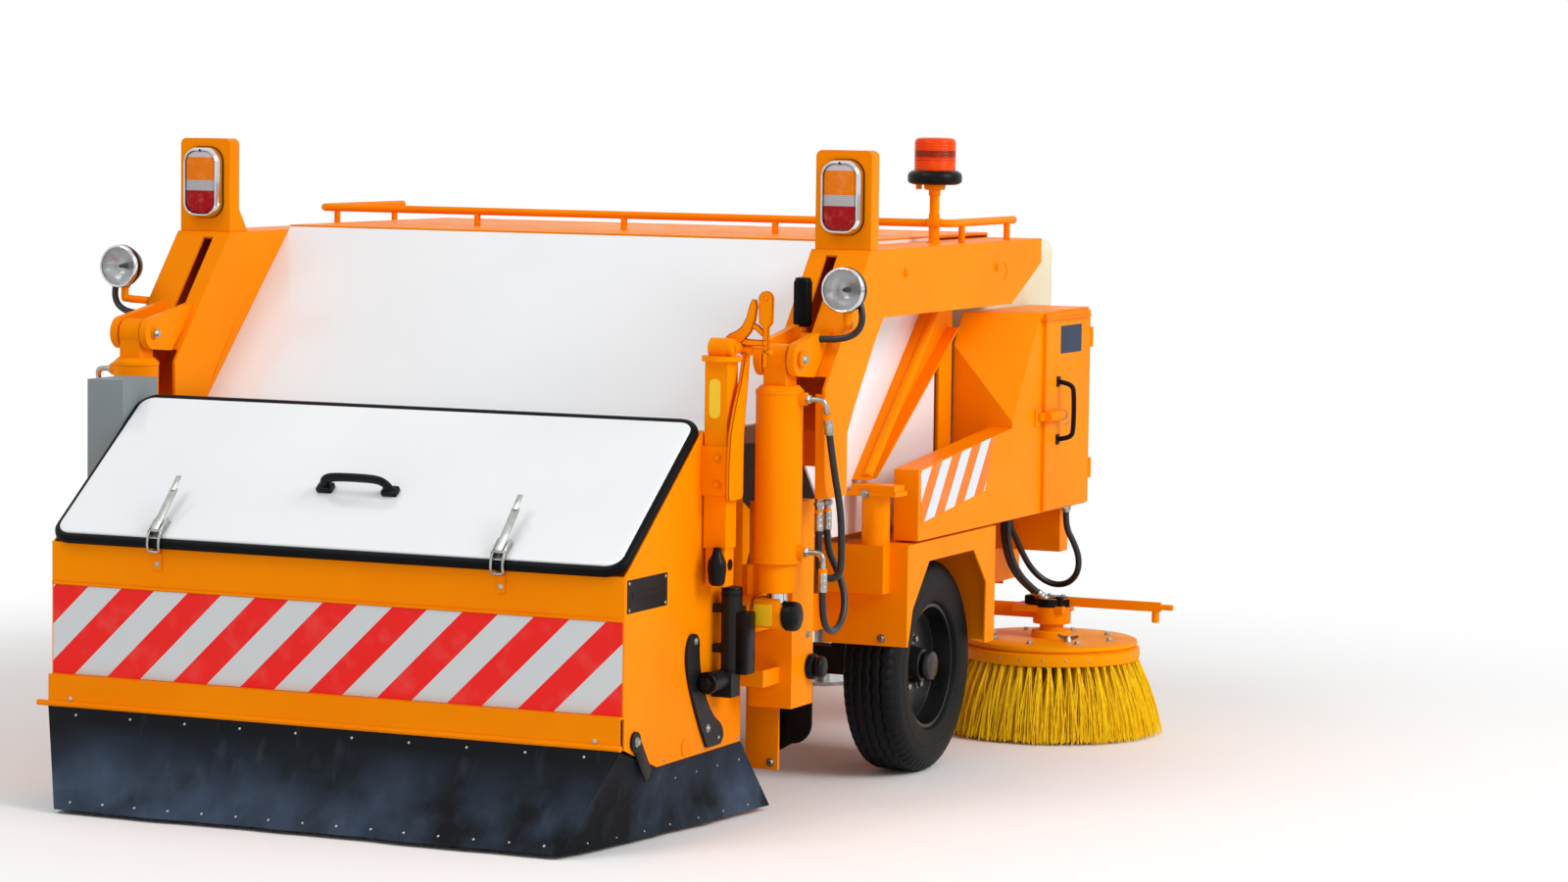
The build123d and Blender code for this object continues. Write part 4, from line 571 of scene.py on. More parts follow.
# %% Studio
floor_finish, tree, shader, where = new_finish("pale_studio_floor", None, 0.9)
shader.inputs["Base Color"].default_value = paint_card("#FDFDFD")
FLOOR_MIDDLE, FADE_FROM, FADE_TO, SKY_FILL = (0, -2.3, -TOW_EYE[2]), 2.4, 5.2, 0.55
from_middle = add(tree, "VectorMath", {0: where, 1: FLOOR_MIDDLE}, operation="DISTANCE")
faded = add(tree, "MapRange", {"Value": (from_middle, "Value"), "From Min": FADE_FROM, "From Max": FADE_TO},
    interpolation_type="SMOOTHSTEP")
seen = reckoned(tree, "MULTIPLY", (faded, "Result"), (add(tree, "LightPath"), "Is Camera Ray"))
glow = add(tree, "Emission", {"Color": (1, 1, 1, 1), "Strength": 1.0})
blend_to_white = add(tree, "MixShader", {0: seen, 1: (shader, "BSDF"), 2: (glow, "Emission")})
tree.links.new(blend_to_white.outputs["Shader"], tree.nodes["Material Output"].inputs["Surface"])
floor_grid = np.array([(x, y, 0.0) for y in (-40.0, 160.0) for x in (-90.0, 90.0)])
floor = bpy.data.objects.new("studio_floor", build_mesh("studio_floor", floor_grid, grid_faces(2, 2)))
floor.data.materials.append(floor_finish)
bpy.context.scene.collection.objects.link(floor)


def soft_lamp(name, place, target, width, watts):
    """A square soft lamp that faces a point."""
    data = bpy.data.lights.new(name, "AREA")
    data.size, data.energy = width, watts
    lamp = bpy.data.objects.new(name, data)
    bpy.context.scene.collection.objects.link(lamp)
    lamp.location = Vector(place)
    lamp.rotation_euler = (Vector(target) - Vector(place)).to_track_quat("-Z", "Y").to_euler()


soft_lamp("soft_lamp_rear_left", (-3.5, -10.5, 12.0), (0, -3.0, 0.6), 6.0, 420)
soft_lamp("soft_lamp_right", (11.0, -4.0, 7.0), (0, -2.5, 0.6), 6.0, 800)
world = bpy.data.worlds.new("white_tent")
bpy.context.scene.world = world
world.use_nodes = True
tree = world.node_tree
sky = tree.nodes["Background"]
ray = add(tree, "LightPath")
seen = reckoned(tree, "MAXIMUM", (ray, "Is Camera Ray"), (ray, "Is Glossy Ray"))
seen = reckoned(tree, "MAXIMUM", seen, (ray, "Is Transmission Ray"))
wire(tree, sky, Strength=ranged(tree, seen, 0.0, 1.0, SKY_FILL, 1.0))
sky.inputs["Color"].default_value = (1, 1, 1, 1)
bpy.context.scene.view_settings.view_transform = "Standard"
print("studio lit")

# %% [markdown]
# ## Warning stripes
# The rear board is a sheet of retro-reflective film with slanted red stripes; the side boxes carry
# white ones. Stripes could be separate strips, but film is one flat layer, so one material draws
# them: a saw-tooth of X plus slanted Z, cut at one half. The film's tiny prisms are a fine relief.

# %% Reflective film
def striped_film(name, along, pitch, lean, start, first, second):
    """Two colours by turns: the fractional part of (along + lean * Z - start) / pitch, above a half."""
    material, tree, shader, where = new_finish(name, "stripe_panel", 0.34, IOR=1.5, Specular_IOR_Level=0.15)
    split = add(tree, "SeparateXYZ", {"Vector": where})
    slant = reckoned(tree, "MULTIPLY_ADD", (split, "Z"), lean, (split, along))
    count = reckoned(tree, "MULTIPLY_ADD", slant, 1 / pitch, -start / pitch)
    stripe = reckoned(tree, "GREATER_THAN", reckoned(tree, "FRACT", count), 0.5)
    wear = cloudy(tree, where, 14.0, 0.5, 0.8, 8.0, 0.0, 0.09)
    worn = mixed(tree, wear, mixed(tree, stripe, first, second), "#D9C9BE")
    prisms = add(tree, "TexVoronoi", {"Vector": where, "Scale": 280.0})
    wire(tree, shader, Base_Color=worn, Normal=height(tree, (prisms, "Distance"), 0.0002, 0.6))
    return material


BOARD_HALF, BOARD_LOW, BOARD_TOP = 0.976, 0.405, 0.679
board_film = striped_film("red_and_grey_reflective_film", "X", 0.236, -1.044, -0.8959, "#F32420", "#D3D8DA")
board = block((-BOARD_HALF, -0.0012, BOARD_LOW), (BOARD_HALF, 0.0004, BOARD_TOP), 0.0005, 1)
piece("warning_board_film", board, board_film, "root", 38)
side_film = striped_film("white_and_orange_film", "Y", 0.157, -0.79, -2.833, "#DEE2E8", "#EE7A00")

# %% [markdown]
# ## Rubber skirt
# Three cut sheets hang from the hood: one behind and one down each flank. Each could be a bent
# plate, but a rubber sheet ripples, and more so the farther it hangs from its clamp. Its middle
# surface joins a top line to a bottom line. It sags inwards below the clamp, slow ripples grow with
# the drop, and both fade out at the ends, so two sheets meet at a corner. The same grid, pushed along
# its normal, gives the sheet its thickness.

# %% Skirt sheets
def along_points(points, share):
    """A place on a broken line for each share of its length, 0 to 1."""
    points = np.asarray(points, float)
    reach = np.concatenate([[0], np.cumsum(np.linalg.norm(np.diff(points, axis=0), axis=1))])
    return np.stack([np.interp(share * reach[-1], reach, points[:, k]) for k in range(3)], -1)


def hanging_sheet(top, low, out, grid, sag, ripple, phase, thick=0.007):
    """Top line to bottom line, plus out * ends * (ripple * drop^1.5 * waves - sag * sin(pi * drop))."""
    across, down = grid
    share, drop = np.linspace(0, 1, across)[:, None], np.linspace(0, 1, down)[None, :]
    a, b = along_points(top, share[:, 0])[:, None], along_points(low, share[:, 0])[:, None]
    middle = a + (b - a) * drop[..., None]
    waves = (np.sin(9.0 * share + phase) + 0.6 * np.sin(23.0 * share + 2.1 * phase + 2.5 * drop)
        + 0.35 * np.sin(51.0 * share - 3.0 * drop + phase))
    ends = np.minimum(1, 10 * share * (1 - share))
    push = ends * (ripple * drop ** 1.5 * waves - sag * np.sin(np.pi * drop))
    middle = middle + np.asarray(out, float) * push[..., None]
    run, fall = np.gradient(middle, axis=0), np.gradient(middle, axis=1)
    normal = np.cross(run, fall)
    normal /= np.linalg.norm(normal, axis=2)[..., None]
    inner, outer = middle - normal * thick / 2, middle + normal * thick / 2
    points = np.concatenate([outer.reshape(-1, 3), inner.reshape(-1, 3)])
    skin = grid_faces(across, down)
    number = np.arange(across * down).reshape(across, down)
    rim = np.concatenate([number[:-1, 0], number[-1, :-1], number[:0:-1, -1], number[0, :0:-1]])
    after = np.roll(rim, -1)
    wall = np.stack([rim, after, after + across * down, rim + across * down], 1)
    return points, np.concatenate([skin, skin[:, ::-1] + across * down, wall])


REAR_GRID, FLANK_GRID = (121, 15), (61, 13)
rear_sheet = hanging_sheet([(-0.977, -0.024, 0.303), (0.977, -0.024, 0.303)],
    [(-0.859, -0.172, 0.014), (0.859, -0.172, 0.014)], BACK, REAR_GRID, 0.022, 0.0055, 0.4)
piece("rear_skirt_sheet", rear_sheet, skirt_rubber, "root", 50, ("skirt_rear",))
flank_top = [(0.976, -0.019, 0.303), (0.978, 0.225, 0.226), (0.978, 0.816, 0.226)]
flank_low = [(0.857, -0.171, 0.014), (0.927, 0.11, 0.014), (1.028, 0.932, 0.014)]
flank = hanging_sheet(flank_top, flank_low, RIGHT, FLANK_GRID, 0.016, 0.005, 1.3)
piece("flank_skirt_sheets", both(flank), skirt_rubber, "root", 50, ("side_skirts",))


def guard_flap(low_x, high_x, top_z, low_z, near_y, thick, corner):
    """A moulded flap: its low edge slants up to a round outer corner; rows run from top to bottom."""
    a = np.linspace(0, np.pi / 2, 9)
    outline = np.concatenate([[(low_x, top_z), (high_x, top_z)],
        np.stack([high_x - corner + corner * np.cos(a), low_z + 0.07 + corner - corner * np.sin(a)], 1),
        [(low_x, low_z)]])
    middle = outline.mean(0)
    rings = [(0.0, near_y), (0.995, near_y), (1.0, near_y + 0.003), (1.0, near_y + thick - 0.004),
        (0.97, near_y + thick), (0.0, near_y + thick)]
    points = np.array([np.insert(middle + share * (outline - middle), 1, y, axis=1) for share, y in rings])
    return woven(points)


flap = guard_flap(0.942, 1.128, top_z=0.418, low_z=0.127, near_y=1.0256, thick=0.011, corner=0.066)
piece("moulded_guard_flaps", both(flap), plastic, "root", 40, ("side_skirts",))

# %% [markdown]
# ## Hatch: lid, bulb seal and handle
# The lid is a glass-fibre moulding with a soft edge. A black bulb seal runs round it on the slope.
# Both follow one outline, a rectangle with round corners; the lid shrinks it ring by ring as it
# rises, and the seal carries a small circle round it.

# %% The hatch's own plane
HATCH_FOOT = np.array([0.0, 0.0, 0.812])
slope_y, slope_z = 0.52, 1.205 - 0.812
hatch_len = math.hypot(slope_y, slope_z)
SLOPE = np.array([0.0, slope_y, slope_z]) / hatch_len
OFF = np.array([0.0, -SLOPE[2], SLOPE[1]])
LID_FACE, LID_UP = 0.0346, 0.004
lid_half_x, lid_half_y = 0.966, (hatch_len - 0.014) / 2
lid_mid = HATCH_FOOT + SLOPE * (hatch_len / 2 + LID_UP)


def on_hatch(shape):
    """A flat shape laid on the hatch: X stays across, Y runs up the slope, Z off it."""
    return placed(shape, lid_mid, RIGHT, SLOPE, OFF)


turn = np.linspace(0, np.pi / 2, 5)
lid_rings = [(0.003, 0.0146), (0.0, 0.017)] + [(0.008 - 0.008 * math.cos(v), 0.0263 + 0.008 * math.sin(v))
    for v in turn] + [(0.03, LID_FACE), (0.12, 0.0352)]
lid = on_hatch(round_plate(lid_half_x, lid_half_y, 0.046, lid_rings))
piece("hatch_lid_moulding", lid, white_shell, "hatch", 30, ("hatch_lid",))


def bulb(half_x, half_y, corner, radius, rise):
    """A round bead on a round-cornered outline: the outline moved out by r cos b, lifted by r sin b."""
    b = np.linspace(0, 2 * np.pi, 12, endpoint=False)
    profile = np.stack([-radius * np.cos(b), rise + radius * np.sin(b)], 1)
    return outline_bead(half_x, half_y, corner, profile, 10)


seal = joined(on_hatch(bulb(0.968, lid_half_y + 0.009, 0.055, 0.0165, 0.015)),
    on_hatch(bulb(0.955, lid_half_y - 0.01, 0.04, 0.006, 0.007)))
piece("hatch_bulb_seal", seal, seal_rubber, "hatch", 60, ("hatch_seal",))

half_bow = [(0.114, 0, 0.004), (0.11, 0, 0.028), (0.096, 0, 0.048), (0.06, 0, 0.056)]
bow = tube(soft_path([(-x, y, z) for x, y, z in half_bow] + half_bow[::-1], 5), 0.0155, 14, 0.68, AHEAD)
feet = copies(block((-0.027, -0.018, -0.001), (0.027, 0.018, 0.019), 0.006), [(-0.112, 0, 0), (0.112, 0, 0)])
handle = joined(bow, feet, many(dome_head, [(-0.131, 0, 0.018), (0.131, 0, 0.018)], UP, 0.005))
handle_place = (-0.009, 0.262 - hatch_len / 2 - LID_UP, LID_FACE)
piece("hatch_bow_handle", on_hatch(copies(handle, [handle_place])), plastic, "hatch", 40, ("hatch_handle",))

# %% [markdown]
# ## Toggle latches
# Two over-centre latches hold the lid: a pressed base plate with turned-up cheeks, a long lever
# that lies almost flat, a wire hook, and a keeper on the panel below. Sheet parts are thin blocks
# with round edges; the pins and the hook are bars.

# %% Latches
def tipped(shape, angle, pivot=(0, 0, 0.024)):
    """A lever laid on its pivot and tipped up by an angle about X."""
    c, s = math.cos(angle), math.sin(angle)
    return placed(shape, pivot, RIGHT, (0, c, s), (0, -s, c))


latch = joined(
    block((-0.02, -0.03, 0.0), (0.02, 0.052, 0.004), 0.0015, 1),
    block((-0.021, -0.022, 0.0), (-0.017, 0.044, 0.026), 0.0015, 1),
    block((0.017, -0.022, 0.0), (0.021, 0.044, 0.026), 0.0015, 1),
    tipped(block((-0.013, -0.012, -0.003), (0.013, 0.15, 0.003), 0.002), 0.16),
    tipped(block((-0.009, 0.14, -0.002), (0.009, 0.196, 0.002), 0.0018), 0.19),
    tube([(-0.024, 0.01, 0.019), (0.024, 0.01, 0.019)], 0.0045, 10),
    tube([(-0.024, -0.012, 0.018), (0.024, -0.012, 0.018)], 0.0035, 10),
    dome_head((0, 0.036, 0.004), UP, 0.007))
hook_half = [(0.0195, y, z) for y, z in ((0.034, 0.022), (-0.012, 0.019), (-0.034, 0.006), (-0.052, -0.014),
    (-0.0525, -0.032))]
wire_hook = bent(hook_half + [(-x, y, z) for x, y, z in hook_half[::-1]], 0.0045, 10, 5)
LATCH_X = (-0.6, 0.577)
latch_foot = 0.03 - hatch_len / 2 - LID_UP
latches = on_hatch(copies(joined(latch, wire_hook), [(x, latch_foot, LID_FACE) for x in LATCH_X]))
piece("toggle_latches", latches, zinc, "hatch", 35, ("hatch_latches",))
keeper = joined(block((-0.016, -0.004, 0.742), (0.016, 0.0005, 0.806), 0.0015, 1),
    tube([(-0.014, -0.01, 0.8), (0.014, -0.01, 0.8)], 0.004, 10),
    block((-0.014, -0.013, 0.792), (0.014, -0.002, 0.797), 0.0015, 1))
keeper_screws = many(dome_head, [(x, -0.0035, 0.762) for x in LATCH_X], BACK, 0.009)
piece("latch_keepers", copies(keeper, [(x, 0, 0) for x in LATCH_X]), orange, "root", 35)
piece("keeper_screws", keeper_screws, zinc, "root", 35)

# %% [markdown]
# ## Road tyres
# A tyre is a lathe shape with a pattern cut into it. The section is a closed loop of points from
# bead to bead; for each point and each angle, a depth is taken off the tread: four zig-zag grooves
# round the tyre, and short cuts across the shoulders.

# %% Tyres and wheels
WHEEL, BOLT_CIRCLE, RIM_FACE = np.array([1.092, 1.885, 0.35]), 0.085, 0.0172


def road_tyre(sign, along=150, round_it=320):
    """Section (x, r) turned round X; r loses a groove depth where |x - zigzag(angle)| is small."""
    wall = [(0.078, 0.2055), (0.092, 0.212), (0.0985, 0.235), (0.1, 0.268), (0.0965, 0.3), (0.09, 0.32),
        (0.083, 0.333), (0.076, 0.3405), (0.066, 0.3455)]
    loop = [(-x, r) for x, r in wall] + [(0, 0.3495)] + wall[::-1] + [(0, 0.205), (-wall[0][0], wall[0][1])]
    section = along_points([(x, r, 0) for x, r in loop], np.linspace(0, 1, along, endpoint=False))
    x, r = section[:, :1], section[:, 1:2]
    angle = np.linspace(0, 2 * np.pi, round_it, endpoint=False)[None]
    waves, cuts, groove_deep, cut_deep = 40, 64, 0.0075, 0.0055
    zigzag = 0.0035 * (2 / np.pi) * np.arcsin(np.sin(waves * angle))
    groove = sum(np.clip(1.25 - np.abs(x - line - zigzag) / 0.0042, 0, 1)
        for line in (-0.046, -0.015, 0.015, 0.046))
    cut = np.clip(1.5 - np.abs(((angle * cuts / (2 * np.pi) + 0.25 * np.sign(x)) % 1) - 0.5) / 0.13, 0, 1)
    shoulder = np.clip((np.abs(x) - 0.058) / 0.006, 0, 1) * np.clip((0.0945 - np.abs(x)) / 0.006, 0, 1)
    tread_zone = np.clip((r - 0.31) / 0.012, 0, 1)
    depth = tread_zone * (groove_deep * np.clip(groove, 0, 1) + cut_deep * cut * shoulder)
    rib = 0.0012 * np.sin(np.clip((r - 0.262) / 0.012, 0, 1) * 2 * np.pi) * (np.abs(x) > 0.08)
    r = r - depth
    points = np.roll(polar(r, angle, sign * (x + rib * np.sign(x))), 1, 2)
    return woven(points + WHEEL * [sign, 1, 1], True)


for side, sign in SIDES:
    piece(f"road_tyre_{side}", road_tyre(sign), tread, f"wheel_{side}", 50, (f"tyre_{side}",))
    hub = WHEEL * [sign, 1, 1]
    bolts = np.roll(around((0, 0, 0), BOLT_CIRCLE, 5, 0.3), 1, 1) + hub + [sign * RIM_FACE, 0, 0]
    nuts = many(hex_head, bolts, (sign, 0, 0), 0.021, 0.018)
    piece(f"wheel_nuts_{side}", nuts, zinc, f"wheel_{side}", 38)
    cap = turned([(0.074, 0.052), (0.08, 0.052), (0.092, 0.046), (0.098, 0.03), (0.099, 0.0)], hub,
        (sign, 0, 0), 28)
    piece(f"hub_cap_{side}", cap, wheel_black, f"wheel_{side}", 38)

# %% [markdown]
# ## Side broom
# The broom is a flat steel disc in two tiers, with a ring of bristle bundles below it. A solid skirt
# of bristle would look like a lampshade, so every bristle is its own thin three-sided spine: it
# leaves the ring, bends outwards with a quadratic curve, and its tip strays a little, by a seed.

# %% Broom disc and bristles
BROOM = np.array([1.2, 2.95, 0.0])
disc = turned([(0.3795, 0.04), (0.356, 0.044), (0.356, 0.066), (0.352, 0.07), (0.3315, 0.072), (0.33, 0.18),
    (0.329, 0.29), (0.3265, 0.2975), (0.319, 0.3), (0.313, 0.2985), (0.311, 0.292), (0.306, 0.29),
    (0.304, 0.3), (0.3, 0.3075), (0.272, 0.3085), (0.262, 0.306), (0.262, 0.24), (0.3, 0.236)], BROOM, UP, 96)
disc_bolts = many(hex_head, around(BROOM + [0, 0, 0.3295], 0.215, 8), UP, 0.017, 0.01)
edge = BROOM + [0, 0, 0.284]
ring_rivets = joined(*[dome_head(place, place - edge, 0.0045) for place in around(edge, 0.308, 24)])
piece("broom_disc", disc, yellow_orange, "side_broom", 35, ("side_broom",))
piece("broom_disc_bolts", joined(disc_bolts, ring_rivets), zinc, "side_broom", 38)


def bristles(root, tip, bend, radius, rings=4):
    """Thin spines: root + s * (tip - root) + s * (1 - s) * bend, three corners round each point."""
    s = np.linspace(0, 1, rings)[None, :, None, None]
    line = root[:, None, None] + s * (tip - root)[:, None, None] + s * (1 - s) * bend[:, None, None]
    points = line + radius * (1 - 0.35 * s) * polar(1.0, np.arange(3) * 2 * np.pi / 3)
    size = 3 * rings
    cap = np.array([[0, 2, 1, 1], [size - 3, size - 2, size - 1, size - 1]])
    faces = np.concatenate([grid_faces(rings, 3, False, True), cap])
    return points.reshape(-1, 3), (faces + size * np.arange(len(root))[:, None, None]).reshape(-1, 4)


BUNDLES, PER_BUNDLE, ROOT_Z, TIP_LIMITS = 56, 52, 0.268, (0.28, 0.391)
dice = np.random.default_rng(7)
bundle = np.repeat(np.arange(BUNDLES), PER_BUNDLE)
count = len(bundle)
spread = dice.normal(0, 1, count)
turn_at = bundle * 2 * np.pi / BUNDLES + 0.016 * dice.uniform(-1, 1, count)
start_r = 0.25 + 0.05 * dice.random(count)
end_r = np.clip(0.352 + 0.9 * (start_r - 0.27) + 0.012 * dice.normal(0, 1, count), *TIP_LIMITS)
tip_z = 0.004 + 0.01 * np.abs(dice.normal(0, 1, count))
roots = polar(start_r, turn_at, ROOT_Z) + BROOM
tips = polar(end_r, turn_at + 0.055 * spread, tip_z) + BROOM
piece("broom_bristles", bristles(roots, tips, polar(0.05, turn_at), 0.0021), bristle, "side_broom", 70)

# %% [markdown]
# ## Main brush
# Under the hood turns a wide roller with bristle set in slanted rows. It shows when the hatch is
# up. Each bristle is a spine again, standing straight out of the core; the rows wind slowly round
# it, about one twelfth of a turn over the width.

# %% Main brush
AXLE, CORE_R, TIP_R, ROWS, PER_ROW, TWIST = np.array([0, 0.42, 0.259]), 0.095, 0.2535, 16, 230, 0.28
core = turned([(-0.97, 0.022), (-0.92, 0.022), (-0.92, CORE_R), (0.92, CORE_R), (0.92, 0.022), (0.97, 0.022)],
    AXLE, RIGHT, 48)
row, place_x = np.meshgrid(np.arange(ROWS), np.linspace(-0.912, 0.912, PER_ROW), indexing="ij")
row, place_x = row.ravel(), place_x.ravel()
way = row * 2 * np.pi / ROWS + place_x * TWIST + 0.05 * dice.uniform(-1, 1, len(row))
out_of = np.roll(polar(1.0, way), 1, 1)
middle = AXLE + place_x[:, None] * RIGHT
length = (TIP_R - 0.01 * dice.random(len(row)))[:, None]
far = middle + out_of * length + [1, 0, 0] * dice.normal(0, 0.006, (len(row), 1))
rows = bristles(middle + out_of * 0.09, far, 0.01 * np.roll(out_of, 1, 1), 0.0036, 3)
piece("roller_core", core, satin_black, "main_brush", 35, ("main_brush",))
piece("roller_bristles", rows, bristle, "main_brush", 70)

# %% [markdown]
# ## Hydraulic hoses
# A lift hose leaves a steel elbow on the cylinder, hangs in a loop and climbs to a fitting under the
# arm. A hose follows a smooth NURBS curve led by a few points, so it never kinks; the tube is a ring
# carried along the points that Blender reads off that curve. Where its two ends turn with different
# bodies, the hose rides on neither and stays where it is drawn; the cabinet's own loop stays with the frame.

# %% Hoses
HOSE_R = 0.011
hose_routes = {
    "upper": [
        (1.29, 0.762, 1.191), (1.29, 0.804, 1.067), (1.289, 0.845, 0.985), (1.289, 0.866, 0.905),
        (1.291, 0.864, 0.815), (1.29, 0.862, 0.762), (1.271, 0.855, 0.742), (1.245, 0.845, 0.742),
        (1.226, 0.838, 0.762), (1.226, 0.838, 0.888)],
    "lower": [
        (1.226, 0.902, 0.888), (1.226, 0.902, 0.83), (1.248, 0.925, 0.768), (1.272, 0.93, 0.705),
        (1.284, 0.912, 0.648), (1.288, 0.872, 0.602), (1.288, 0.812, 0.582), (1.288, 0.757, 0.603),
        (1.29, 0.726, 0.655), (1.29, 0.726, 0.715)],
    "pressure": [
        (1.15, 2.898, 0.492), (1.11625, 2.868, 0.52725), (1.085, 2.845, 0.58), (1.067, 2.834, 0.64),
        (1.059, 2.829, 0.702), (1.059, 2.829, 0.766)],
    "return": [
        (1.172, 2.88, 0.492), (1.13825, 2.85, 0.52725), (1.11, 2.824, 0.578), (1.094, 2.806, 0.638),
        (1.087, 2.798, 0.7), (1.087, 2.798, 0.766)],
    "loop": [
        (1.225, 3.005, 0.766), (1.225, 3.005, 0.712), (1.25, 3.02, 0.66), (1.268, 3.03, 0.605),
        (1.262, 3.036, 0.55), (1.228, 3.04, 0.512), (1.18, 3.038, 0.502), (1.135, 3.025, 0.52),
        (1.1, 3.0, 0.56), (1.078, 2.97, 0.615), (1.066, 2.935, 0.67), (1.058, 2.895, 0.718),
        (1.058, 2.895, 0.766)]}


def curve_points(points):
    """Points along the NURBS curve that the route's points control, as Blender makes it."""
    data = bpy.data.curves.new("route", "CURVE")
    data.dimensions = "3D"
    spline = data.splines.new("NURBS")
    spline.points.add(len(points) - 1)
    for control, place in zip(spline.points, np.asarray(points) - TOW_EYE):
        control.co = (*place, 1.0)
    spline.order_u = 3
    spline.use_endpoint_u = True
    spline.resolution_u = 10
    route = bpy.data.objects.new("route", data)
    mesh = bpy.data.meshes.new_from_object(route)
    line = np.array([vertex.co for vertex in mesh.vertices])
    bpy.data.objects.remove(route)
    bpy.data.meshes.remove(mesh)
    return line + TOW_EYE


def hose_piece(name, points, node, first_body, second_body):
    """A hose tube on its route, riding on its body when both ends share one, else fixed where it is drawn."""
    line = curve_points(points)
    thing = smooth_object(name, tube(line, HOSE_R, 20), hose_black, 50)
    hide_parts(node)
    if first_body == second_body:
        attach(thing, first_body)
    else:
        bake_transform(thing)


for side, sign in SIDES:
    barrel = f"lift_barrel_{side}"
    for level, ends in (("upper", (barrel, "lift")), ("lower", ("lift", barrel))):
        hose_piece(f"{level}_lift_hose_{side}", np.array(hose_routes[level]) * [sign, 1, 1],
            f"hose_lift_{side}", *ends)
for kind in ("pressure", "return"):
    hose_piece(f"motor_{kind}_hose", hose_routes[kind][::-1], "hose_broom", "root", "broom_arm")
hose_piece("cabinet_loop_hose", hose_routes["loop"], "hose_broom", "root", "root")

# %% [markdown]
# ## Elbows, crimps and fittings
# Between hose and steel sits a crimped ferrule: a sleeve pressed onto the hose, with a nut above it.
# It is a lathe shape with shallow rings. The elbow is bent tube, led by a few points.

# %% Hose fittings
def ferrule(end, other, radius=0.0138):
    """A crimped sleeve from the hose's end towards the nut: profile of (share along, radius)."""
    end, other = np.asarray(end, float), np.asarray(other, float)
    length = float(np.linalg.norm(other - end))
    share = [(0, 0), (0, 0.93), (0.04, 1), (0.3, 1), (0.33, 0.94), (0.37, 1), (0.62, 1), (0.65, 0.94),
        (0.69, 1), (0.93, 1), (1, 0.86), (1, 0)]
    return turned([(length * s, radius * r) for s, r in share], end, other - end, 22)


def nut(place, direction, across=0.028, tall=0.016):
    """A union nut: six sides between two low chamfers."""
    half = across * 0.57
    return turned([(0, half * 0.86), (tall * 0.15, half), (tall * 0.85, half), (tall, half * 0.86)], place,
        direction, 6)


elbow_upper = bent([(1.226, 0.726, 1.296), (1.262, 0.726, 1.296), (1.281, 0.7275, 1.294),
    (1.289, 0.7315, 1.281), (1.29, 0.738, 1.262), (1.29, 0.742, 1.25)], 0.0086)
elbow_lower = bent([(1.226, 0.726, 0.833), (1.262, 0.726, 0.833), (1.282, 0.726, 0.83), (1.29, 0.726, 0.815),
    (1.29, 0.726, 0.797), (1.29, 0.726, 0.78)], 0.0086)
barrel_fittings = joined(elbow_upper, elbow_lower, ferrule((1.29, 0.7623, 1.19), (1.29, 0.7455, 1.2397)),
    ferrule((1.29, 0.726, 0.714), (1.29, 0.726, 0.774)), nut((1.2305, 0.726, 1.296), RIGHT, 0.026, 0.012),
    nut((1.2305, 0.726, 0.833), RIGHT, 0.026, 0.012))


def arm_fitting(y):
    """A hose's end under the arm: crimped sleeve, straight stub and union nut."""
    stub = bar((1.226, y, 0.944), (1.226, y, 1.01), 0.0108)
    return joined(ferrule((1.226, y, 0.887), (1.226, y, 0.945)), stub, nut((1.226, y, 0.962), UP))


for side, sign in SIDES:
    piece(f"barrel_elbows_{side}", on_side(barrel_fittings, sign), zinc, f"lift_barrel_{side}", 35)
piece("arm_hose_fittings", both(many(arm_fitting, (0.838, 0.902))), zinc, "lift", 35)
motor_way = frame_of([45, 40, -47])[0]
motor_ends = [np.array(hose_routes[kind][0]) for kind in ("pressure", "return")]
nut_places = [end + 0.046 * motor_way for end in motor_ends]
motor_fittings = joined(*[ferrule(end - 0.001 * motor_way, far) for end, far in zip(motor_ends, nut_places)],
    many(nut, nut_places, motor_way))
piece("motor_hose_fittings", motor_fittings, zinc, "broom_arm", 35)


def cabinet_gland(hose_end):
    """A ferrule and its nut under the cabinet's floor, round a hose's end."""
    x, y = hose_end[:2]
    return joined(ferrule((x, y, 0.765), (x, y, 0.789)), nut((x, y, 0.774), UP, 0.03, 0.014))


cabinet_ends = [hose_routes["pressure"][-1], hose_routes["return"][-1], hose_routes["loop"][0],
    hose_routes["loop"][-1]]
piece("cabinet_hose_glands", many(cabinet_gland, cabinet_ends), zinc, "root", 35)

# %% [markdown]
# ## Combination lamps
# Each tall box carries one lamp: a pressed, chromed rim on a rubber gasket, and a lens moulded in
# red, clear and amber. The rim and the gasket are profiles carried round an outline with round ends;
# the lens is a low dome. Its colours change with height, and fine horizontal ribs break up the light.

# %% Lamp finishes
def banded_lens(name, slot, bands, ribs, painted_glints):
    """Acrylic whose colour steps with height: each band is (height where it starts, colour); pale spots over
    it are painted glints.
    """
    material, tree, shader, where = new_finish(name, slot, 0.12, IOR=1.49, Specular_IOR_Level=0.12)
    split = add(tree, "SeparateXYZ", {"Vector": where})
    shade = bands[0][1]
    for level, colour in bands[1:]:
        over = reckoned(tree, "GREATER_THAN", (split, "Z"), level - TOW_EYE[2])
        shade = mixed(tree, over, shade, colour)
    # Pale warm spots in slow clouds: painted glints on the lens.
    lit = mixed(tree, cloudy(tree, where, 46.0, 0.5, 0.75, 2.0, 0.0, painted_glints), shade, "#FFD9A0")
    wave = add(tree, "TexWave", {"Vector": where, "Scale": ribs, "Distortion": 0.0}, wave_type="BANDS",
        bands_direction="Z")
    wire(tree, shader, Base_Color=lit, Normal=height(tree, (wave, "Fac"), 0.0012, 0.7))
    return material


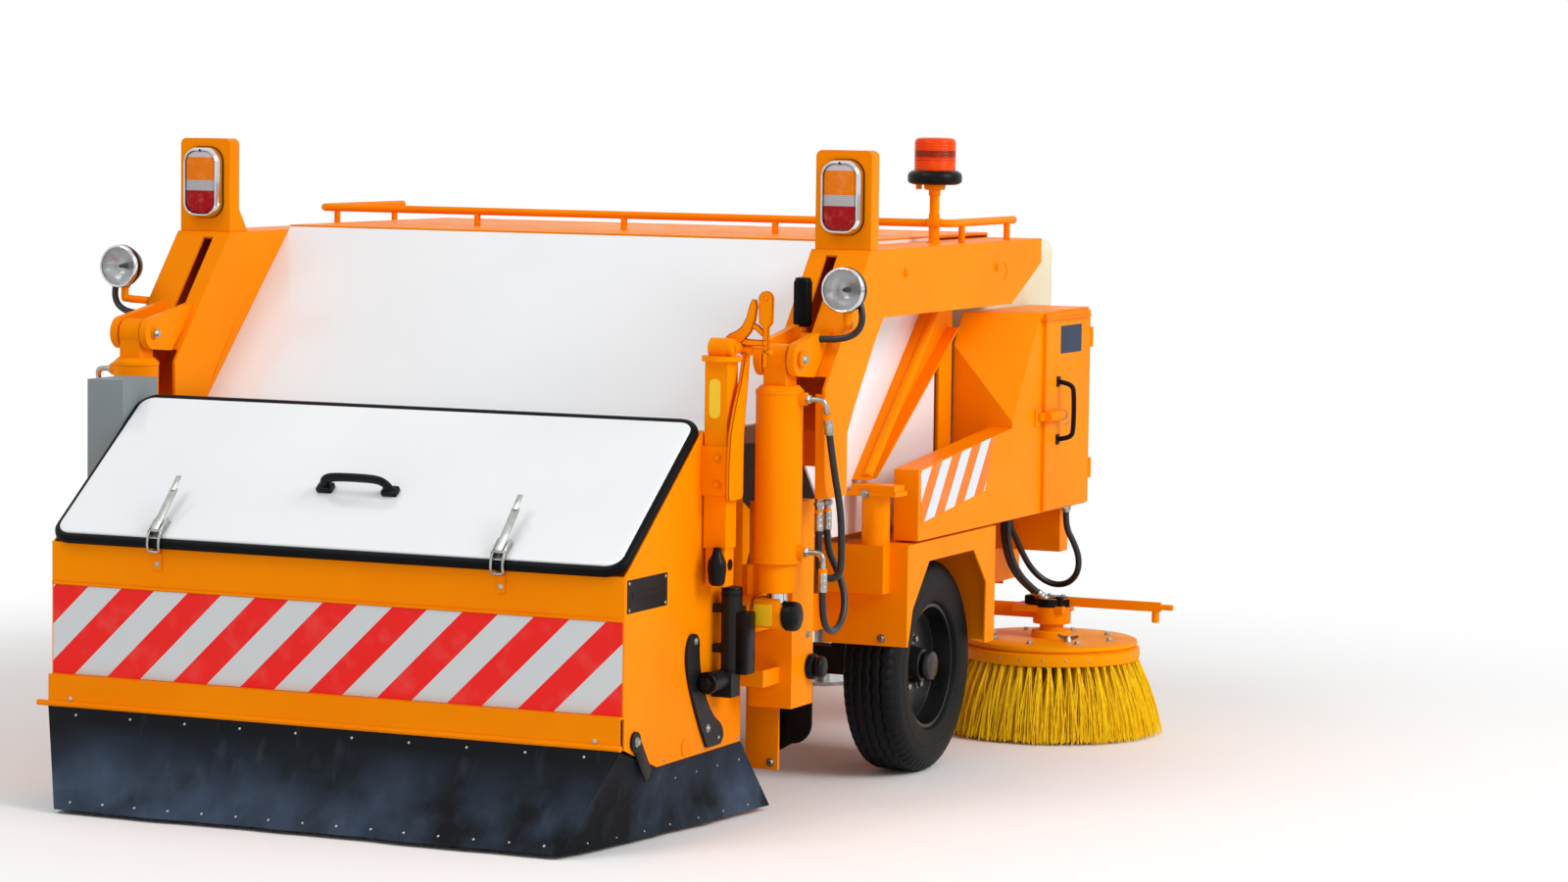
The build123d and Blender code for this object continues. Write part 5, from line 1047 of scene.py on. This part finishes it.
lamp_lens = banded_lens("three_colour_acrylic_lens", "lamp_lens",
    [(0.0, "#A80E18"), (1.868, "#B4B5B8"), (1.902, "#F07C00"), (1.978, "#C9C0C6")], 52.0, 0.1)
beacon_lens = banded_lens("orange_polycarbonate_dome", "beacon_amber",
    [(0.0, "#F04A00"), (1.998, "#E23A00"), (2.012, "#8E2A04"), (2.034, "#EE4400")], 34.0, 0.04)
clear_glass, tree, shader, where = new_finish("pressed_lamp_glass", "lamp_lens", 0.02, IOR=1.45,
    Transmission_Weight=1.0)
flutes = add(tree, "TexWave", {"Vector": where, "Scale": 22.0}, wave_type="BANDS", bands_direction="X")
wire(tree, shader, Normal=height(tree, (flutes, "Fac"), 0.0004, 0.5))


# %% Combination lamps
def facing_back(shape, centre):
    """A flat shape stood upright: its X stays, its Y becomes up, and it faces the rear."""
    return placed(shape, centre, RIGHT, UP, BACK)


LAMP, LAMP_STEPS = np.array([1.152, 1.165, 1.895]), 14
rim = outline_bead(0.069, 0.117, 0.05, [(0.0, 0.002), (0.0, 0.01), (0.0015, 0.022), (0.0045, 0.032),
    (0.008, 0.0365), (0.0105, 0.036), (0.0115, 0.031), (0.0115, 0.02), (0.009, 0.016), (0.005, 0.002)],
    LAMP_STEPS)
gasket = outline_bead(0.0705, 0.1185, 0.051,
    [(0.0, 0.0), (0.0, 0.004), (0.004, 0.006), (0.02, 0.006), (0.0205, 0.0)], LAMP_STEPS)
seat_ring = outline_bead(0.059, 0.107, 0.041, [(0.0, 0.01), (0.0, 0.0335), (0.003, 0.0345), (0.004, 0.01)],
    LAMP_STEPS)
half_lens = [(0.001, 0.006), (0.001, 0.026), (0.003, 0.031), (0.008, 0.0345), (0.016, 0.0365), (0.03, 0.0375)]
lens = facing_back(round_plate(0.0565, 0.1045, 0.04, half_lens, 12), LAMP)
lamp_screw = dome_head(LAMP + [0, -0.036, 0.106], BACK, 0.004)
piece("lamp_rims", both(facing_back(joined(rim, seat_ring), LAMP)), chrome, "lift", 40, ("tail_lamps",))
piece("lamp_gaskets", both(joined(facing_back(gasket, LAMP), lamp_screw)), seal_rubber, "lift")
piece("lamp_lenses", both(lens), lamp_lens, "lift", 40, ("tail_lamps",))

# %% [markdown]
# ## Work lamps
# A work lamp is a pressed black shell with a polished bowl inside. The bowl is a parabola turned
# round its axis, so it gathers the sky into a bright disc with a dark bulb at its middle. The clear
# front is real glass with shallow flutes.

# %% Work lamps
WORK = np.array([1.288, 0.85, 1.622])
BOWL_R, BOWL_DEEP = 0.0605, 0.046
bowl_r = np.linspace(BOWL_R, 0.006, 12)
bowl_depth = BOWL_DEEP * (1 - (bowl_r / BOWL_R) ** 2)
bowl = turned([(0.002, 0.0625)] + [(-d, r) for d, r in zip(bowl_depth, bowl_r)]
    + [(-0.048, 0.006), (-0.05, 0.012), (-0.004, 0.0635)], WORK, BACK, 48, closed=True)
lamp_rim = turned([(-0.01, 0.064), (-0.01, 0.0695), (0.0, 0.0698), (0.004, 0.068), (0.0055, 0.065),
    (0.004, 0.062), (0.0, 0.0612), (-0.002, 0.0635)], WORK, BACK, 56, closed=True)
shell = turned([(-0.022, 0.07), (-0.03, 0.068), (-0.06, 0.056), (-0.084, 0.038), (-0.092, 0.03),
    (-0.094, 0.0)], WORK, BACK, 48, capped=False)
shell_wall = turned([(-0.0095, 0.0655), (-0.0105, 0.0695), (-0.022, 0.0697), (-0.022, 0.0655)], WORK, BACK,
    48, closed=True)
glass = turned([(-0.001, 0.06), (0.0005, 0.0612), (0.002, 0.06), (0.004, 0.04), (0.0048, 0.02), (0.005, 0.0)],
    WORK, BACK, 48)
bulb_holder = turned([(-0.049, 0.009), (-0.03, 0.008), (-0.026, 0.006), (-0.014, 0.006), (-0.01, 0.0035),
    (-0.009, 0.0)], WORK, BACK, 20)
fork = joined(bar(WORK + [0, 0.04, -0.052], WORK + [0, 0.04, -0.108], 0.0125, 18),
    bar(WORK + [-0.018, 0.04, -0.066], WORK + [0.018, 0.04, -0.066], 0.006, 12),
    bent([(1.29, 0.888, 1.518), (1.284, 0.925, 1.512), (1.27, 0.97, 1.508), (1.2595, 1.0, 1.504)], 0.0125))
conduit = bent([(1.322, 0.905, 1.585), (1.331, 0.902, 1.56), (1.334, 0.9, 1.525), (1.322, 0.897, 1.495),
    (1.29, 0.892, 1.476), (1.25, 0.885, 1.47), (1.215, 0.875, 1.47), (1.19, 0.866, 1.47)], 0.0105)
piece("work_lamp_rims", both(lamp_rim), chrome, "lift", 40, ("work_lamps",))
piece("work_lamp_bowls", both(bowl), reflector, "lift")
piece("work_lamp_shells", both(joined(shell, shell_wall)), plastic, "lift", 40, ("work_lamps",))
piece("work_lamp_glass", both(glass), clear_glass, "lift")
piece("work_lamp_bulbs", both(bulb_holder), wheel_black, "lift")
piece("work_lamp_brackets", both(fork), orange, "lift", 40, ("work_lamps",))
piece("lamp_conduits", both(conduit), hose_black, "lift")

# %% [markdown]
# ## Beacon
# The beacon is a ribbed dome on a flat black foot, on a short post with a clamp round the rail.
# Lathe shapes again; the ribs are in the profile, so they show against the sky.

# %% Beacon
BEACON, ARM_TOP = np.array([1.13, 1.97, 0.0]), 1.7305
rib_z = np.linspace(1.968, 2.062, 25)
dome = turned([(1.966, 0), (1.966, 0.0685)] + [(z, 0.0672 + 0.0009 * (k % 2)) for k, z in enumerate(rib_z)]
    + [(2.068, 0.065), (2.073, 0.06), (2.0755, 0.048), (2.0765, 0.0)], BEACON, UP, 48)
foot = turned([(1.922, 0.07), (1.926, 0.082), (1.932, 0.0885), (1.95, 0.0895), (1.96, 0.086), (1.968, 0.074)],
    BEACON, UP, 48)
stem = turned([(1.8095, 0.0185), (1.826, 0.0185), (1.826, 0.016), (1.886, 0.016), (1.886, 0.0195),
    (1.904, 0.0195), (1.906, 0.034), (1.922, 0.036), (1.923, 0)], BEACON, UP, 24)
socket = turned([(ARM_TOP, 0.026), (ARM_TOP + 0.006, 0.026), (ARM_TOP + 0.007, 0.018), (1.79, 0.018)], BEACON,
    UP, 24)
post = joined(
    stem, block(BEACON + [-0.022, -0.02, 1.783], BEACON + [0.022, 0.02, 1.8115], 0.004),
    bar(BEACON + [-0.03, -0.0205, 1.797], BEACON + [-0.03, 0.0205, 1.797], 0.006, 10),
    bar(BEACON + [-0.056, 0.0, 1.906], BEACON + [-0.056, 0.0, 1.928], 0.01, 10), socket)
piece("beacon_dome", dome, beacon_lens, "lift", 30, ("beacon",))
piece("beacon_foot", foot, plastic, "lift", 40, ("beacon",))
piece("beacon_post", post, orange, "lift", 40, ("beacon",))

# %% [markdown]
# ## Lift cylinders
# The barrel is drawn over a chromed stage. The gland nut below it and the eye block at the foot are
# painted with the frame, so a painted shell is laid over those parts of the chromed pieces; two thin
# collars ring the barrel. A black cap covers the foot pin, and a yellow label sits on the block.

# %% Cylinder feet
CYL, FOOT_PIN, TOP_PIN = np.array([1.14, 0.726, 0.0]), (0, 0.726, 0.635), np.array([0, 0.726, 1.415])
gland, collar, top_ring = [turned(profile, CYL, UP, 48, closed=True) for profile in (
    [(0.7072, 0.05), (0.7072, 0.059), (0.7095, 0.0612), (0.7945, 0.0612), (0.7965, 0.06), (0.7965, 0.05)],
    [(0.796, 0.0715), (0.796, 0.0728), (0.799, 0.0745), (0.806, 0.0745), (0.809, 0.0722), (0.809, 0.0715)],
    [(1.31, 0.0715), (1.31, 0.0732), (1.313, 0.074), (1.319, 0.074), (1.322, 0.0725), (1.322, 0.0715)])]
foot_block = joined(block((1.075, 0.685, 0.603), (1.163, 0.7665, 0.6895), 0.012),
    turned([(1.0705, 0.0395), (1.0725, 0.0412), (1.1645, 0.0412), (1.1665, 0.0395)], FOOT_PIN, RIGHT, 40))
pin_cap = turned([(1.172, 0.04), (1.176, 0.0455), (1.2, 0.0455), (1.209, 0.042), (1.2135, 0.033),
    (1.214, 0.0)], FOOT_PIN, RIGHT, 40)
top_pin = turned([(1.2125, 0.0255), (1.219, 0.0255), (1.222, 0.022)], TOP_PIN, RIGHT, 28)
pin_bolts = joined(hex_head(TOP_PIN + [1.2215, 0, 0], RIGHT, 0.019, 0.01),
    hex_head(TOP_PIN + [1.0645, 0, 0], (-1, 0, 0), 0.019, 0.012))
block_label = block((1.081, 0.6842, 0.606), (1.141, 0.6854, 0.671), 0.0005, 1)
for side, sign in SIDES:
    piece(f"gland_nut_{side}", on_side(gland, sign), orange, f"lift_stage_{side}")
    piece(f"barrel_collars_{side}", on_side(joined(collar, top_ring), sign), orange, f"lift_barrel_{side}")
    piece(f"foot_block_{side}", on_side(foot_block, sign), orange, f"lift_rod_{side}")
    piece(f"pin_cap_{side}", on_side(pin_cap, sign), plastic, f"lift_rod_{side}")
    piece(f"foot_label_{side}", on_side(block_label, sign), label_yellow, f"lift_rod_{side}")
piece("top_pins", both(top_pin), orange, "lift", 35)
piece("pin_bolts", both(pin_bolts), zinc, "lift", 35)

# %% [markdown]
# ## Safety prop and its levers
# Before anyone works under the raised hopper, the prop is swung out and pinned. Its levers are flat
# bar: a hook that drops over the pin, an upright with a hole in a round end, and a long curved bar
# down the prop's side.

# %% Prop levers
PROP_Y = 0.605


def lever(line, thick):
    """Flat bar in the prop's upright plane, from rows of (x, z, width)."""
    return strap([(x, PROP_Y, z) for x, z, width in line], [width for x, z, width in line], thick, AHEAD)


hook = joined(lever([(1.02, 1.452, 0.046), (1.04, 1.474, 0.044), (1.064, 1.488, 0.038), (1.084, 1.508, 0.034),
    (1.098, 1.54, 0.03), (1.106, 1.578, 0.025), (1.108, 1.598, 0.012)], 0.014),
    lever([(1.092, 1.524, 0.02), (1.118, 1.514, 0.018), (1.14, 1.494, 0.016)], 0.011),
    lever([(1.06, 1.474, 0.02), (1.09, 1.468, 0.02), (1.15, 1.468, 0.018)], 0.011))
round_end = [(1.147, 1.6 + 0.024 * math.sin(v), max(0.048 * math.cos(v), 0.004))
    for v in np.linspace(0, np.pi / 2, 6)]
upright = joined(
    lever([(1.148, 1.395, 0.02), (1.147, 1.515, 0.02), (1.147, 1.528, 0.044), *round_end], 0.012),
    turned([(0.004, 0.0075), (0.0075, 0.0075)], (1.147, PROP_Y, 1.603), BACK, 14))
side_line = [(0.622, 1.462), (0.618, 1.42), (0.598, 1.34), (0.572, 1.265), (0.552, 1.19), (0.546, 1.1),
    (0.545, 1.016), (0.545, 0.998)]
long_bar = strap([(1.076, y, z) for y, z in side_line],
    [0.024, 0.034, 0.05, 0.074, 0.096, 0.104, 0.106, 0.092], 0.012, RIGHT)
prop_pins = joined(bar((1.052, 0.56, 1.452), (1.052, 0.63, 1.452), 0.019, 20),
    bar((1.06, 0.62, 1.444), (1.1, 0.62, 1.444), 0.016, 20),
    bar((1.078, 0.618, 1.447), (1.165, PROP_Y, 1.441), 0.008),
    turned([(0, 0.026), (0.004, 0.028), (0.03, 0.028), (0.034, 0.026)], (1.03, 0.56, 1.452), RIGHT, 28),
    many(hex_head, [(1.032, 0.5145, 1.125), (1.032, 0.5145, 1.045)], BACK, 0.017, 0.008))
piece("prop_levers", joined(hook, upright, long_bar, prop_pins), orange, "root")
GRIP = np.array([1.098, 0.985, 0.0])
prop_grip = turned([(1.5, 0.0215), (1.505, 0.0265), (1.64, 0.0265), (1.65, 0.0225), (1.653, 0)], GRIP, UP, 24)
grip_ridges = joined(*[tube([place, place + [0, 0, 0.131]], 0.003, 6)
    for place in around(GRIP + [0, 0, 1.507], 0.0255, 14)])
grip_stem = bar(GRIP + [0, 0, 1.44], GRIP + [0, 0, 1.502], 0.016)
piece("prop_grip", joined(prop_grip, grip_ridges), seal_rubber, "lift")
piece("prop_grip_stem", grip_stem, orange, "lift")
oval = facing_back(round_plate(0.0185, 0.06, 0.018, [(0.0005, 0.0), (0.0, 0.0006), (0.0005, 0.0012)], 10),
    (1.018, 0.523, 1.301))
piece("prop_label", oval, label_yellow, "root")
prop_shoe = block((0.989, 0.527, 0.734), (1.056, 0.593, 0.852), 0.005)
bulb_knob = turned([(0.742, 0.016), (0.75, 0.024), (0.79, 0.029), (0.815, 0.027), (0.832, 0.017),
    (0.846, 0.0125), (0.856, 0.0115), (0.858, 0)], (1.04, 0.505, 0.0), UP, 28)
prop_window = turned([(1.055, 0.0175), (1.0575, 0.0175), (1.0585, 0.015)], (0, 0.562, 0.8), RIGHT, 24)
piece("prop_shoe", prop_shoe, orange, "root")
piece("prop_shoe_knob", joined(bulb_knob, prop_window), plastic, "root")

# %% [markdown]
# ## Brush height actuator
# A small electric cylinder sets how hard the brush presses. Its motor tube is black anodised, so
# its ends carry rings and screws; the bent lever below turns with the brush shaft.

# %% Actuator trim
ACT, SHAFT = np.array([1.036, 0.625, 0.0]), np.array([1.0155, 0.51, 0.447])
act_rings = joined(*[turned([(z, 0.031), (z, 0.0335), (z + 0.008, 0.0335), (z + 0.008, 0.031)], ACT, UP, 32,
    closed=True) for z in (0.47, 0.7)])
act_box = block((1.058, 0.602, 0.462), (1.098, 0.668, 0.652), 0.007)
act_cap = turned([(0.717, 0.0325), (0.722, 0.0325), (0.726, 0.03), (0.7265, 0)], ACT, UP, 32)
lever_pins = joined(many(hex_head, [(0.9905, 0.47, 0.574), (0.9905, 0.56, 0.3)], RIGHT, 0.016, 0.006),
    dome_head((0.9905, 0.64, 0.262), RIGHT, 0.006))
shaft_ring = turned([(-0.002, 0.033), (0.004, 0.034), (0.018, 0.034), (0.022, 0.031)], SHAFT, BACK, 28)
shaft_nut = turned([(0, 0.021), (0.012, 0.021), (0.014, 0.018)], SHAFT - [0, 0.022, 0], BACK, 6)
piece("actuator_trim", joined(act_rings, act_cap, act_box, shaft_ring, shaft_nut), plastic, "root", 35)
piece("lever_screws", lever_pins, zinc, "root", 35)

# %% [markdown]
# ## Knobs, plates and bolts on the frame
# Screws and plates tell the eye how large a machine is. The blank black plate on the flank is
# riveted at its corners; the strap at the hood's corner holds the two skirts together; a black
# knob of two tiers closes the column; a round cover hides each end of the brush shaft.

# %% Frame hardware
column_knob = turned([(1.13, 0.036), (1.133, 0.04), (1.148, 0.04), (1.153, 0.036), (1.154, 0.026),
    (1.157, 0.026), (1.159, 0.032), (1.162, 0.0345), (1.174, 0.0345), (1.18, 0.03), (1.183, 0.018),
    (1.1835, 0)], (0, 1.0, 0.447), RIGHT, 40)
flank_plate = block((0.9795, 0.018, 0.702), (0.982, 0.285, 0.8), 0.0008, 1)
plate_recess = block((0.9815, 0.05, 0.742), (0.9832, 0.24, 0.76), 0.0005, 1)
corner_strap = joined(placed(block((-0.026, -0.045, -0.0035), (0.026, 0.1, 0.0035), 0.003),
    (0.985, 0.135, 0.242), (0, 0.8, 0.6), (0, -0.6, 0.8), RIGHT),
    turned([(0.9815, 0.03), (0.9885, 0.03), (0.989, 0)], (0, 0.074, 0.322), RIGHT, 28))
piece("column_knobs", both(column_knob), plastic, "root")
piece("flank_plates", both(joined(flank_plate, plate_recess)), plastic, "root", 30)
piece("skirt_corner_straps", both(corner_strap), plastic, "root")


def visible_side(sheet, grid):
    """The outward face of a hanging sheet, as a grid of points: the second half of its points."""
    return sheet[0][grid[0] * grid[1]:].reshape(*grid, 3)


skirt_face = visible_side(rear_sheet, REAR_GRID) + [0, 0.001, 0]
SKIRT_SLOPE = (0, -0.89, 0.456)
skirt_rivets = joined(many(dome_head, skirt_face[6::12, 1], SKIRT_SLOPE, 0.005),
    many(dome_head, skirt_face[4::8, -2], SKIRT_SLOPE, 0.0048))
flank_face = visible_side(flank, FLANK_GRID) - [0.001, 0, 0]
flank_rivets = joined(many(dome_head, [(0.9805, y, 0.24) for y in np.linspace(0.28, 0.8, 5)], RIGHT, 0.006),
    many(dome_head, flank_face[6:60:8, -2], (0.9, 0, 0.43), 0.0045),
    many(dome_head, flank_face[30:60:9, 3], (0.98, 0, 0.2), 0.0045))
plate_rivets = many(dome_head, [(0.982, y, z) for y in (0.03, 0.273) for z in (0.712, 0.79)], RIGHT, 0.0055)
lap_edge = block((-0.979, -0.005, 0.6805), (0.979, 0.001, 0.689), 0.001, 1)
lift_bolts = many(hex_head, [(1.25, 1.44, 1.654), (1.25, 2.228, 1.649)], RIGHT, 0.02, 0.01)
piece("frame_rivets", both(joined(flank_rivets, plate_rivets)), zinc, "root", 35)
piece("rear_skirt_rivets", skirt_rivets, zinc, "root", 35)
frame_bolts = joined(
    hex_head((0.989, 0.074, 0.322), RIGHT, 0.019, 0.009), hex_head((1.13, 0.982, 0.549), RIGHT, 0.016, 0.008),
    hex_head((1.01, 0.9825, 0.14), BACK, 0.017, 0.008),
    many(hex_head, [(1.162, 1.4955, 0.481), (1.122, 1.4395, 0.948)], BACK, 0.018, 0.009),
    dome_head((0.9, -0.0225, 0.33), BACK, 0.008))
piece("frame_bolts", both(frame_bolts), zinc, "root", 35)
piece("beam_bolts", both(lift_bolts), orange, "lift", 35)
axle_cover = turned([(0.9795, 0.026), (0.9825, 0.026), (0.984, 0.023)], AXLE, RIGHT, 32)
piece("axle_covers", both(axle_cover), orange, "root")
piece("board_lap_edge", lap_edge, orange, "root", 30)

# %% [markdown]
# ## Striped film on the flank
# A short piece of the same film is stuck on each side of the lift box, cut along the sheet's slant.
# It is a thin plate between four corners, so its edge is a real one.

# %% Flank film
def thin_plate(corners, direction, thick, back=0.0004):
    """A plate between corners in order: near face = corner - direction * back, far face adds thick."""
    corners, direction = np.array(corners, float), np.array(direction, float)
    count = len(corners)
    points = np.vstack([corners - direction * back, corners + direction * thick])
    edge = [(i, (i + 1) % count, (i + 1) % count + count, i + count) for i in range(count)]
    cover = [(0, i, i + 1, i + 1) for i in range(1, count - 1)]
    back_faces = [(a, c, b, b) for a, b, c, _ in cover]
    front_faces = [(a + count, b + count, c + count, c + count) for a, b, c, _ in cover]
    faces = np.array(edge + back_faces + front_faces)
    normal = np.cross(corners[1] - corners[0], corners[2] - corners[0])
    return points, faces if normal @ direction > 0 else faces[:, ::-1]


film = thin_plate([(1.2505, 1.595, 1.015), (1.2505, 2.235, 1.084), (1.2505, 2.155, 0.908),
    (1.2505, 1.602, 0.847)], RIGHT, 0.0008)
piece("flank_films", both(film), side_film, "root", 20)

# %% [markdown]
# ## Cabinet door hardware
# The door is pulled open by a black bow handle and kept shut by a hook and a barrel latch. A drip
# rail keeps water out of the seam, and two amber markers show the cabinet's front edge.

# %% Door hardware
DOOR = 1.262
bow_line = [(0.004, 1.236), (0.052, 1.226), (0.06, 1.2), (0.06, 1.072), (0.052, 1.046), (0.004, 1.036)]
bow = bent([(DOOR + out, 2.802, z) for out, z in bow_line], 0.0085, 14, 5)
bow_feet = copies(block((DOOR - 0.0005, 2.786, -0.018), (DOOR + 0.006, 2.818, 0.018), 0.003),
    [(0, 0, 1.236), (0, 0, 1.036)])
piece("bow_handle", joined(bow, bow_feet), plastic, "cabinet_door", 40, ("door_handle",))
barrel = turned([(2.657, 0.0165), (2.66, 0.0185), (2.735, 0.0185), (2.738, 0.015), (2.742, 0.015),
    (2.745, 0.0185), (2.81, 0.0185), (2.813, 0.0165)], (DOOR + 0.0175, 0.0, 1.122), AHEAD, 24)
latch_foot_plate = block((DOOR - 0.0005, 2.7, 1.106), (DOOR + 0.01, 2.77, 1.138), 0.002, 1)
key_ring = tube([(DOOR + 0.038 + 0.01 * math.sin(v), 2.786, 1.106 + 0.015 * math.cos(v))
    for v in np.linspace(0, 2 * math.pi, 22)], 0.0014, 8)
latch_hook = joined(block((1.2495, 2.612, 1.092), (1.2555, 2.664, 1.152), 0.002, 1),
    block((1.254, 2.632, 1.107), (1.27, 2.662, 1.137), 0.003, 1))
piece("door_latch", joined(barrel, latch_foot_plate), orange, "cabinet_door", 35)
piece("latch_ring", key_ring, zinc, "cabinet_door", 35)
piece("latch_hook", latch_hook, orange, "root", 35)
marker = joined(block((1.188, 3.1315, 0.914), (1.246, 3.146, 0.972), 0.004),
    block((1.188, 3.1315, 0.856), (1.246, 3.146, 0.913), 0.004))
piece("edge_markers", both(marker), amber_lens, "root")
drip_rail = thin_plate([(1.2495, y, z) for y, z in ((2.65, 1.4515), (3.092, 1.4515), (3.092, 1.4565),
    (2.65, 1.4565))], RIGHT, 0.026)
piece("drip_rail", drip_rail, orange, "root", 30)
door_label = block((DOOR - 0.0003, 2.822, 1.33), (DOOR + 0.001, 3.028, 1.426), 0.0004, 1)
piece("door_label", door_label, label_blue, "cabinet_door", 30)

# %% [markdown]
# ## Braces and broom drive
# The big brace under the beam is a folded channel: a rounded ridge runs up its middle. The broom's
# drive is a black gear motor over the disc; a wing nut beside it sets the height.

# %% Braces and broom drive
ridge = bar((1.098, 1.514, 0.994), (1.098, 2.084, 1.508), 0.016, 20)
MOTOR_OUT, MOTOR_CAP = 0.0665, 0.4705
motor_body = turned([(0.4455, MOTOR_OUT), (0.44, MOTOR_OUT + 0.002), (MOTOR_CAP - 0.004, MOTOR_OUT + 0.002),
    (MOTOR_CAP, MOTOR_OUT - 0.004), (MOTOR_CAP + 0.0015, MOTOR_OUT - 0.012)], BROOM, UP, 40)
gear_motor = joined(motor_body, block((1.112, 2.905, 0.4455), (1.164, 2.985, 0.4775), 0.006),
    block((1.226, 2.895, 0.4455), (1.256, 2.935, 0.478), 0.005))
motor_screws = many(hex_head, around(BROOM + [0, 0, MOTOR_CAP + 0.0012], 0.04, 4, 0.6), UP, 0.013, 0.007)
NUT = np.array([1.3, 2.845, 0.0])
wing_line = [(-0.038, 0.352), (-0.016, 0.343), (0, 0.341), (0.016, 0.343), (0.038, 0.352)]
wings = strap([NUT + [x, 0, z] for x, z in wing_line], [0.01, 0.014, 0.014, 0.014, 0.01], 0.005, AHEAD)
wing_nut = joined(turned([(0.329, 0.016), (0.334, 0.016), (0.344, 0.01), (0.352, 0.009)], NUT, UP, 20), wings)
piece("brace_ridges", both(ridge), orange, "lift")
piece("broom_gear_motor", gear_motor, plastic, "broom_arm")
piece("broom_motor_screws", motor_screws, zinc, "broom_arm", 35)
piece("broom_wing_nut", wing_nut, zinc, "side_broom", 35)

# %% [markdown]
# ## Inner gusset of the left arm
# A flat sheet closes the corner between the left arm and the hopper's side.

# %% Arm gusset
gusset = thin_plate([(-1.0535, 1.256, 1.52), (-1.0535, 1.56, 1.52), (-1.0535, 1.25, 1.186),
    (-1.0535, 1.0, 1.19)], RIGHT, 0.003)
piece("arm_gusset_left", gusset, orange, "lift", 30)
